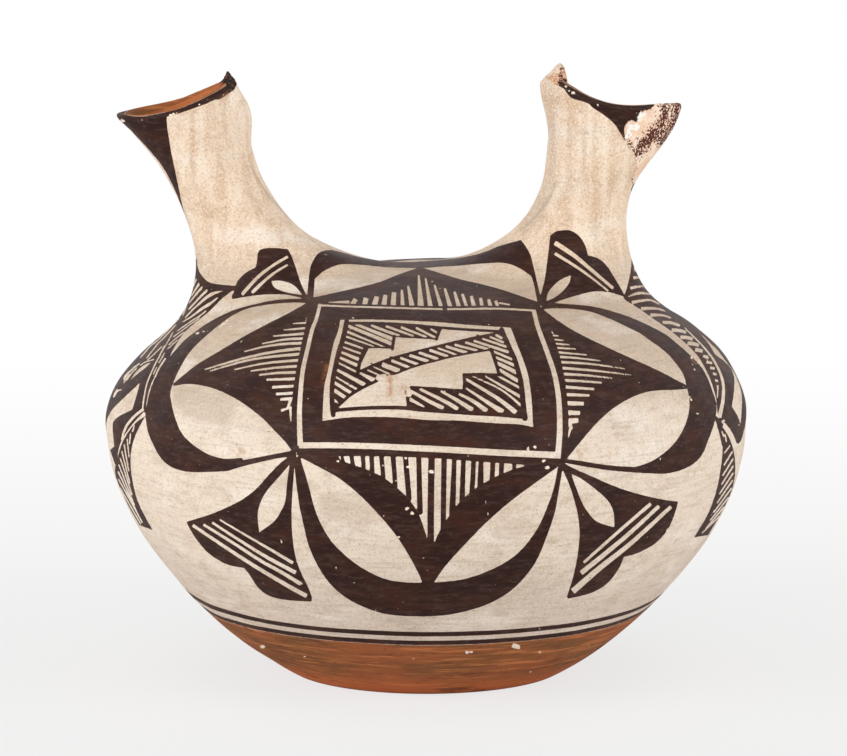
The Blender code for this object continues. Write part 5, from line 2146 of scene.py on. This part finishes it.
@dataclass(frozen=True)
class PaintedSlip:
    """White clay slip on orange clay, rubbed with a stone, and painted with a mineral and plant paint.

    The slip is brushed on in thin coats round the jar, so it shows faint level streaks, and on the
    necks it is drawn upwards and left sandy. The paint sinks in, is near black where it is thick and
    brown where it is thin. Grit and pores of the real clay are finer than a pixel, so they are drawn
    about a millimetre across. Edges are distances from a mark's edge in metres, negative inside.
    """

    # Colours
    slip: str = "#e3d3c1"
    slip_pale: str = "#f0e6da"
    slip_low: str = "#d9c9ba"
    slip_shoulder: str = "#d0bba5"
    slip_neck: str = "#e7cfb6"
    slip_grey: str = "#a8937f"
    # grey of the random smudges, of the darker grey patches and of the painted shade down the right neck's
    # inner side
    smudge_and_shade_grey: str = "#c4b09c"
    neck_streak: str = "#c9a98a"
    sand: str = "#a77f58"
    sand_light: str = "#f6e6d2"
    speck: str = "#5b3d2c"
    paint: str = "#2b1611"
    paint_worn: str = "#4b3630"
    paint_brown: str = "#4a2618"
    clay: str = "#98562f"
    clay_dark: str = "#57301c"
    clay_light: str = "#d2834a"
    clay_olive: str = "#6f4a26"
    # painted bounce light from the floor, on the clay at the foot
    clay_floor_bounce_light: str = "#c8713d"
    flaked: str = "#edcbb0"
    flaked_pale: str = "#f4dcc6"
    white: str = "#f7f0e8"
    chip: str = "#efdfc9"
    stain: str = "#55291f"
    rust: str = "#b0713f"
    # painted shade along the folds
    crease_shade: str = "#7d6350"

    # Smoothness
    clay_roughness: float = 0.66
    slip_roughness: float = 0.60
    paint_roughness: float = 0.52
    bare_roughness: float = 0.8
    shine: float = 0.22
    paint_shine: float = 0.13

    # Relief, as shares of its whole depth
    grit: Grain = Grain(0.9, detail=4.0, rough=0.7)
    grit_high: float = 0.35
    brushed_ridges: Grain = Grain(14.0, 1.1, detail=3.0)
    drawn_ridges: Grain = Grain(6.0, 34.0)
    drawn_higher: float = 2.6
    paint_high: float = 0.10
    bare_high: float = -0.5
    fold_high: float = -1.3
    relief: float = 0.00022

    # Slip
    clouds: Grain = Grain(38.0, detail=3.0)
    cloud_drift: float = 0.05
    pale_clouds: Grain = Grain(26.0, 11.0, detail=4.0, spots=Spots(0.50, 0.70, share=0.6))
    hand_smudges: Grain = Grain(15.0, 8.0, detail=5.0, rough=0.65, spots=Spots(0.50, 0.66, share=0.5))
    brushed: Grain = Grain(15.0, 1.1, detail=4.0, rough=0.65)
    drawn: Grain = Grain(4.2, 40.0, rough=0.5)
    streaks: Spots = Spots(0.47, 0.70, share=0.34, neck_share=0.55)
    pale_ridges: Spots = Spots(0.32, 0.47, share=0.0, neck_share=0.5, at_low=True)
    mottle: Grain = Grain(4.0, detail=5.0, rough=0.75, spots=Spots(0.50, 0.72, share=0.35))
    sand_grains: Grain = Grain(0.8, rough=0.6)
    pale_sand: Spots = Spots(0.30, 0.48, share=0.25, neck_share=0.7, at_low=True)
    pores: Spots = Spots(0.54, 0.68, share=0.36, neck_share=0.42)
    specks: Grain = Grain(1.1, detail=1.0, spots=Spots(0.735, 0.775, share=0.55, neck_share=0.35))

    # Bare clay at the foot
    clay_clouds: Grain = Grain(34.0, 9.0, detail=4.0, rough=0.6, spots=Spots(0.42, 0.62, share=0.75))
    clay_streaks: Grain = Grain(24.0, 1.3, detail=5.0, rough=0.7, spots=Spots(0.48, 0.66, share=0.65))
    clay_soot: Grain = Grain(20.0, 3.2, detail=5.0, rough=0.65, spots=Spots(0.54, 0.70, share=0.75))
    clay_pits: Grain = Grain(1.2, spots=Spots(0.68, 0.74))

    # Paint
    sound_paint: Grain = Grain(1.7, detail=4.0, rough=0.75, spots=Spots(0.70, 0.73, at_low=True))
    unscratched: Grain = Grain(2.4, 9.0, spots=Spots(0.745, 0.765, at_low=True))
    thin_paint: Grain = Grain(9.0, detail=3.0, spots=Spots(0.46, 0.68, share=0.6))
    paint_blotches: Grain = Grain(16.0, 7.0, detail=4.0, rough=0.65, spots=Spots(0.46, 0.62, share=0.45))
    paint_streaks: Grain = Grain(6.0, 1.6, detail=5.0, rough=0.8, spots=Spots(0.46, 0.66, share=0.70))

    # Wear
    fine_tremor: Grain = Grain(1.6, detail=3.0)
    flake_tremor: Grain = Grain(3.2, detail=5.0, rough=0.7)
    flake_clouds: Grain = Grain(5.0, detail=4.0, spots=Spots(0.45, 0.60))
    stain_spots: Grain = Grain(0.8, detail=3.0, rough=0.6)
    rust_spots: Grain = Grain(4.0, detail=4.0, spots=Spots(0.42, 0.58, share=0.65))
    waver: float = 0.00030
    flake_ragged: float = 0.006
    chip_ragged: float = 0.0012

    # Heights and edges in metres, and the most that each shows
    neck_heights: Span = (0.148, 0.166)
    low_heights: Span = (0.035, 0.065)
    shoulder_heights: Span = (0.095, 0.140)
    # where the painted bounce light at the foot shows, and how strong it is
    floor_bounce_heights: Span = (0.001, 0.012)
    floor_bounce_share: float = 0.75
    slip_edge: Span = (-0.0004, 0.0002)
    paint_edge: Span = (-0.00006, 0.00006)
    thin_edge: Span = (-0.0009, -0.0001)
    fold_shadow: Span = (-0.0004, 0.0022)
    # where the painted shade along the folds shows, and how strong it is
    fold_shade_line: Span = (-0.0004, 0.0009)
    fold_shade_share: float = 0.42
    # where the painted shade and the darker grey patches show, and how strong they are
    shade_and_smudge_edge: Span = (-0.0030, 0.0030)
    shade_and_smudge_share: float = 0.55
    flake_edge: Span = (-0.0001, 0.0001)
    white_edge: Span = (-0.0001, 0.0002)
    stain_edge: Span = (-0.0022, 0.0028)
    stain_spread: Span = (0.40, 0.66)
    stain_soft: Span = (-0.02, 0.05)
    rust_edge: Span = (-0.0020, 0.0010)
    chip_edge: Span = (-0.0001, 0.0001)

    def dress(self) -> bpy.types.Material:
        """Makes the material."""
        ground = Ground("painted slip")
        neck = self.neck_share(ground)
        slip = self.slip_colour(ground, neck)
        clay = self.clay_colour(ground)
        tremor = ground.tremor(self.fine_tremor)
        slipped = ground.between(ground.ragged("slip", tremor, self.waver), self.slip_edge)
        under = ground.cover(clay, slip, slipped)
        edge = ground.ragged("paint", tremor, self.waver)
        painted = ground.within(edge, self.paint_edge)
        for sound in (self.sound_paint, self.unscratched):
            painted = ground.sum(painted, ground.spots(sound), "MULTIPLY")
        colour = ground.cover(under, self.paint_colour(ground, edge), painted)
        colour, bare = self.worn_colour(ground, colour, tremor)
        ground.set("Base Color", colour)
        roughness = ground.mixed(self.clay_roughness, self.slip_roughness, slipped)
        roughness = ground.mixed(roughness, self.paint_roughness, painted)
        ground.set("Roughness", ground.mixed(roughness, self.bare_roughness, bare))
        ground.set("Specular IOR Level", ground.mixed(self.shine, self.paint_shine, painted))
        self.shape(ground, neck, painted, bare)
        return ground.material

    def neck_share(self, ground: Ground) -> Socket:
        """How much a place belongs to the necks rather than the body."""
        return ground.between(ground.height, self.neck_heights)

    def shape(self, ground: Ground, neck: Socket, painted: Socket, bare: Socket) -> None:
        """Gives the surface its grit, brush marks, drawn-up ridges, paint thickness and creases."""
        drawn = ground.sum(ground.grain(self.drawn_ridges), self.drawn_higher, "MULTIPLY")
        height = ground.mixed(ground.grain(self.brushed_ridges), drawn, neck)
        folded = ground.within(ground.measured("fold_groove_and_shade"), self.fold_shadow)
        raised = (
            (ground.grain(self.grit), self.grit_high),
            (painted, self.paint_high),
            (bare, self.bare_high),
            (folded, self.fold_high),
        )
        for where, high in raised:
            height = ground.sum(height, ground.sum(where, high, "MULTIPLY"))
        ground.relief(height, self.relief)

    def slip_colour(self, ground: Ground, neck: Socket) -> Socket:
        """The slip, greyer on the shoulder and sandier on the necks, with streaks, smudges and specks, and
        with painted shade down the right neck's inner side and along the folds.
        """
        cloud = ground.sum(ground.tremor(self.clouds), self.cloud_drift, "MULTIPLY")
        drift = ground.sum(ground.height, cloud)
        brushed, drawn = ground.grain(self.brushed), ground.grain(self.drawn)
        streak, fine = ground.mixed(brushed, drawn, neck), ground.grain(self.sand_grains)
        grey = ground.cover(self.slip_grey, self.neck_streak, neck)
        smudge_and_shade_grey = ground.cover(self.smudge_and_shade_grey, self.neck_streak, neck)
        fold_shade = ground.within(ground.measured("fold_groove_and_shade"), self.fold_shade_line, self.fold_shade_share)
        shade_and_smudges = ground.within(ground.measured("shade_and_smudges"), self.shade_and_smudge_edge, self.shade_and_smudge_share)
        colour = self.slip
        for over, share in (
            (self.slip_low, ground.within(drift, self.low_heights)),
            (self.slip_shoulder, ground.between(drift, self.shoulder_heights)),
            (self.slip_neck, neck),
            (self.slip_pale, ground.spots(self.pale_clouds)),
            (smudge_and_shade_grey, ground.spots(self.hand_smudges)),
            (grey, ground.drawn_out(streak, self.streaks, neck)),
            (self.sand_light, ground.drawn_out(drawn, self.pale_ridges, neck)),
            (grey, ground.spots(self.mottle)),
            # painted shade down the right neck's inner side, and darker grey patches
            (self.smudge_and_shade_grey, shade_and_smudges),
            (self.sand_light, ground.drawn_out(fine, self.pale_sand, neck)),
            (self.sand, ground.drawn_out(fine, self.pores, neck)),
            (self.speck, ground.spots(self.specks, neck)),
            # painted shade along the folds
            (self.crease_shade, fold_shade),
        ):
            colour = ground.cover(colour, over, share)
        return colour

    def clay_colour(self, ground: Ground) -> Socket:
        """The bare orange clay under the slip, streaked by the polishing stone, with painted bounce light
        from the floor that makes it paler at the foot.
        """
        colour = self.clay
        for over, share in (
            (self.clay_olive, ground.spots(self.clay_clouds)),
            (self.clay_light, ground.spots(self.clay_streaks)),
            # painted bounce light from the floor at the foot
            (self.clay_floor_bounce_light, ground.within(ground.height, self.floor_bounce_heights, self.floor_bounce_share)),
            (self.clay_dark, ground.spots(self.clay_soot)),
            (self.clay_dark, ground.spots(self.clay_pits)),
        ):
            colour = ground.cover(colour, over, share)
        return colour

    def paint_colour(self, ground: Ground, edge: Socket) -> Socket:
        """The paint, thin and brown at its edges, with brush streaks."""
        thin = ground.between(edge, self.thin_edge)
        thin = ground.sum(thin, ground.spots(self.thin_paint), "MULTIPLY")
        colour = ground.cover(self.paint, self.paint_brown, thin)
        colour = ground.cover(colour, self.paint_brown, ground.spots(self.paint_blotches))
        return ground.cover(colour, self.paint_worn, ground.spots(self.paint_streaks))

    def worn_colour(self, ground: Ground, colour: Socket, tremor: Socket) -> tuple[Socket, Socket]:
        """Adds the flaked lip, its red-brown stain, the chips and the spots where orange clay shows.

        Args:
            ground: The material.
            colour: The colour of the sound surface.
            tremor: Fine grain that makes the chips' edges ragged.

        Returns:
            The colour of the worn surface, and how bare it is.
        """
        coarse = ground.tremor(self.flake_tremor)
        bare = ground.within(ground.ragged("flaked", coarse, self.flake_ragged), self.flake_edge)
        white = ground.within(ground.ragged("white", coarse, self.flake_ragged), self.white_edge)
        flaked = ground.cover(self.flaked, self.flaked_pale, ground.spots(self.flake_clouds))
        flaked = ground.cover(flaked, self.white, white)
        density = ground.between(ground.measured("stained"), self.stain_edge, *self.stain_spread)
        spots = ground.sum(ground.grain(self.stain_spots), density, "SUBTRACT")
        flaked = ground.cover(flaked, self.stain, ground.between(spots, self.stain_soft))
        colour = ground.cover(colour, flaked, bare)
        rusty = ground.within(ground.measured("rusty"), self.rust_edge)
        rusty = ground.sum(rusty, ground.spots(self.rust_spots), "MULTIPLY")
        colour = ground.cover(colour, self.rust, rusty)
        chip = ground.within(ground.ragged("chipped", tremor, self.chip_ragged), self.chip_edge)
        return ground.cover(colour, self.chip, chip), bare


@dataclass(frozen=True)
class BareClay:
    """The orange clay inside the spouts: scraped with a gourd, never rubbed, so it is dull and gritty."""

    clay: str = "#cb7a42"
    clay_dark: str = "#9c4f26"
    temper: str = "#e0b48c"
    clouds: Grain = Grain(12.0, detail=4.0, spots=Spots(0.40, 0.70, share=0.6))
    grit: Grain = Grain(1.0, detail=4.0, rough=0.7, spots=Spots(0.64, 0.70))
    roughness: float = 0.85
    relief: float = 0.00035

    def dress(self) -> bpy.types.Material:
        """Makes the material."""
        ground = Ground("bare clay")
        grit = ground.grain(self.grit)
        colour = ground.cover(self.clay, self.clay_dark, ground.spots(self.clouds))
        temper = ground.drawn_out(grit, self.grit.spots)
        ground.set("Base Color", ground.cover(colour, self.temper, temper))
        ground.set("Roughness", self.roughness)
        ground.relief(grit, self.relief)
        return ground.material


@dataclass(frozen=True)
class TornRoot:
    """The stub of the handle: slipped clay, and coarse broken clay that is partly blackened."""

    fresh: str
    charred: float
    char: str = "#2b1e1a"
    clay: str = "#9a5f39"
    orange: str = "#cf8450"
    char_soft: float = 0.04
    orange_spots: Grain = Grain(3.0, detail=4.0, spots=Spots(0.52, 0.62))
    lumps: Grain = Grain(0.9, detail=4.0, rough=0.7, spots=Spots(0.55, 0.62))
    coal: Grain = Grain(2.2, detail=5.0, rough=0.8)
    tremor: Grain = Grain(1.6, detail=4.0)
    torn_ragged: float = 0.0025
    torn_edge: Span = (-0.0002, 0.0001)
    slip_roughness: float = 0.6
    torn_roughness: float = 0.85
    shine: float = 0.22
    grit: Grain = Grain(0.7, detail=4.0, rough=0.75)
    slip_grit_high: float = 0.3
    torn_grit_high: float = 1.6
    relief: float = 0.00030

    def dress(self) -> bpy.types.Material:
        """Makes the material."""
        ground = Ground("torn clay")
        outside = PaintedSlip()
        slip = outside.slip_colour(ground, outside.neck_share(ground))
        painted = ground.within(ground.measured("paint"), outside.paint_edge)
        slip = ground.cover(slip, outside.paint, painted)
        torn = ground.cover(self.fresh, self.orange, ground.spots(self.orange_spots))
        torn = ground.cover(torn, self.clay, ground.spots(self.lumps))
        charred = (self.charred, self.charred + self.char_soft)
        torn = ground.cover(torn, self.char, ground.between(ground.grain(self.coal), charred))
        edge = ground.ragged("torn", ground.tremor(self.tremor), self.torn_ragged)
        share = ground.within(edge, self.torn_edge)
        ground.set("Base Color", ground.cover(slip, torn, share))
        ground.set("Roughness", ground.mixed(self.slip_roughness, self.torn_roughness, share))
        ground.set("Specular IOR Level", self.shine)
        high = ground.mixed(self.slip_grit_high, self.torn_grit_high, share)
        ground.relief(ground.sum(ground.grain(self.grit), high, "MULTIPLY"), self.relief)
        return ground.material


# Studio


@dataclass(frozen=True)
class Softbox:
    """One big soft lamp."""

    name: str
    place: tuple[float, float, float]
    size: float
    power: float
    aimed_at: tuple[float, float, float] = (0.0, 0.0, 0.10)

    def hang(self) -> None:
        """Puts the lamp up, turned towards the jar."""
        data = bpy.data.lights.new(self.name, "AREA")
        data.shape = "SQUARE"
        data.size = self.size
        data.energy = self.power
        made = bpy.data.objects.new(self.name, data)
        made.location = self.place
        towards = Vector(self.aimed_at) - Vector(self.place)
        made.rotation_euler = towards.to_track_quat("-Z", "Y").to_euler()
        bpy.context.scene.collection.objects.link(made)


@dataclass(frozen=True)
class Studio:
    """The pale floor, the soft lamps and the white surroundings."""

    floor_half: float = 9.0
    floor_colour: str = "#f1f0ef"
    floor_roughness: float = 0.9
    fade_from: float = -0.3
    fade_to: float = 0.95
    near_share: float = 0.74
    near_white: str = "#f6f6f6"
    surroundings: str = "#ffffff"
    surroundings_strength: float = 0.42
    lamps: tuple[Softbox, ...] = (
        Softbox("left softbox", (-1.9, -1.0, 0.75), 1.3, 30.0),
        Softbox("right softbox", (1.9, -1.0, 0.75), 1.3, 26.0),
        Softbox("front softbox", (-0.3, -2.4, 1.3), 1.3, 8.0),
    )

    def build(self) -> None:
        """Makes the floor, the lamps and the world."""
        self.lay_floor()
        self.light_world()
        for lamp in self.lamps:
            lamp.hang()

    def lay_floor(self) -> None:
        """Lays a floor whose far part fades to white."""
        half = self.floor_half
        data = bpy.data.meshes.new("floor")
        corners = [(-half, -half, 0.0), (half, -half, 0.0), (half, half, 0.0), (-half, half, 0.0)]
        data.from_pydata(corners, [], [(0, 1, 2, 3)])
        floor = bpy.data.objects.new("floor", data)
        bpy.context.scene.collection.objects.link(floor)
        material = bpy.data.materials.new("pale floor")
        material.use_nodes = True
        tree = material.node_tree
        surface = tree.nodes["Principled BSDF"]
        surface.inputs["Base Color"].default_value = linear(self.floor_colour)
        surface.inputs["Roughness"].default_value = self.floor_roughness
        away = add_node(tree, "SeparateXYZ", {0: add_node(tree, "TexCoord").outputs["Object"]}).outputs["Y"]
        inputs = {"Value": away, "From Min": self.fade_from, "From Max": self.fade_to}
        fade = add_node(tree, "MapRange", inputs, interpolation_type="SMOOTHSTEP").outputs[0]
        inputs = {0: fade, 6: linear(self.near_white), 7: linear(self.surroundings)}
        colour = add_node(tree, "Mix", inputs, data_type="RGBA").outputs[2]
        white = add_node(tree, "Emission", {"Color": colour, "Strength": 1.0})
        inputs = {"Value": fade, "To Min": self.near_share, "To Max": 1.0}
        share = add_node(tree, "MapRange", inputs).outputs[0]
        seen = add_node(tree, "LightPath").outputs["Is Camera Ray"]
        share = add_node(tree, "Math", {0: share, 1: seen}, operation="MULTIPLY").outputs[0]
        mix = add_node(tree, "MixShader", {0: share, 1: surface.outputs[0], 2: white.outputs[0]})
        tree.links.new(mix.outputs[0], tree.nodes["Material Output"].inputs["Surface"])
        data.materials.append(material)

    def light_world(self) -> None:
        """Lights the room evenly and shows white to the camera and in reflections."""
        world = bpy.data.worlds.new("white room")
        bpy.context.scene.world = world
        world.use_nodes = True
        tree = world.node_tree
        room = tree.nodes["Background"]
        room.inputs["Color"].default_value = linear(self.surroundings)
        room.inputs["Strength"].default_value = self.surroundings_strength
        rays = add_node(tree, "LightPath").outputs
        seen = rays["Is Camera Ray"]
        for kind in ("Is Transmission Ray", "Is Glossy Ray"):
            seen = add_node(tree, "Math", {0: seen, 1: rays[kind]}, operation="MAXIMUM").outputs[0]
        white = add_node(tree, "Background", {"Color": linear(self.surroundings), "Strength": 1.0})
        mix = add_node(tree, "MixShader", {0: seen, 1: room.outputs[0], 2: white.outputs[0]})
        tree.links.new(mix.outputs[0], tree.nodes["World Output"].inputs["Surface"])


def main() -> None:
    """Builds the jar, its floor, its lamps and its camera."""
    logging.basicConfig(level=logging.INFO, format="%(message)s")
    bpy.context.scene.view_settings.view_transform = "Standard"
    StudioCamera().place()
    Studio().build()
    vessel = Vessel()
    vessel.build()
    vessel.pieces()
    for root in (LEFT_ROOT, RIGHT_ROOT):
        root.build(vessel)


if __name__ == "__main__":
    main()
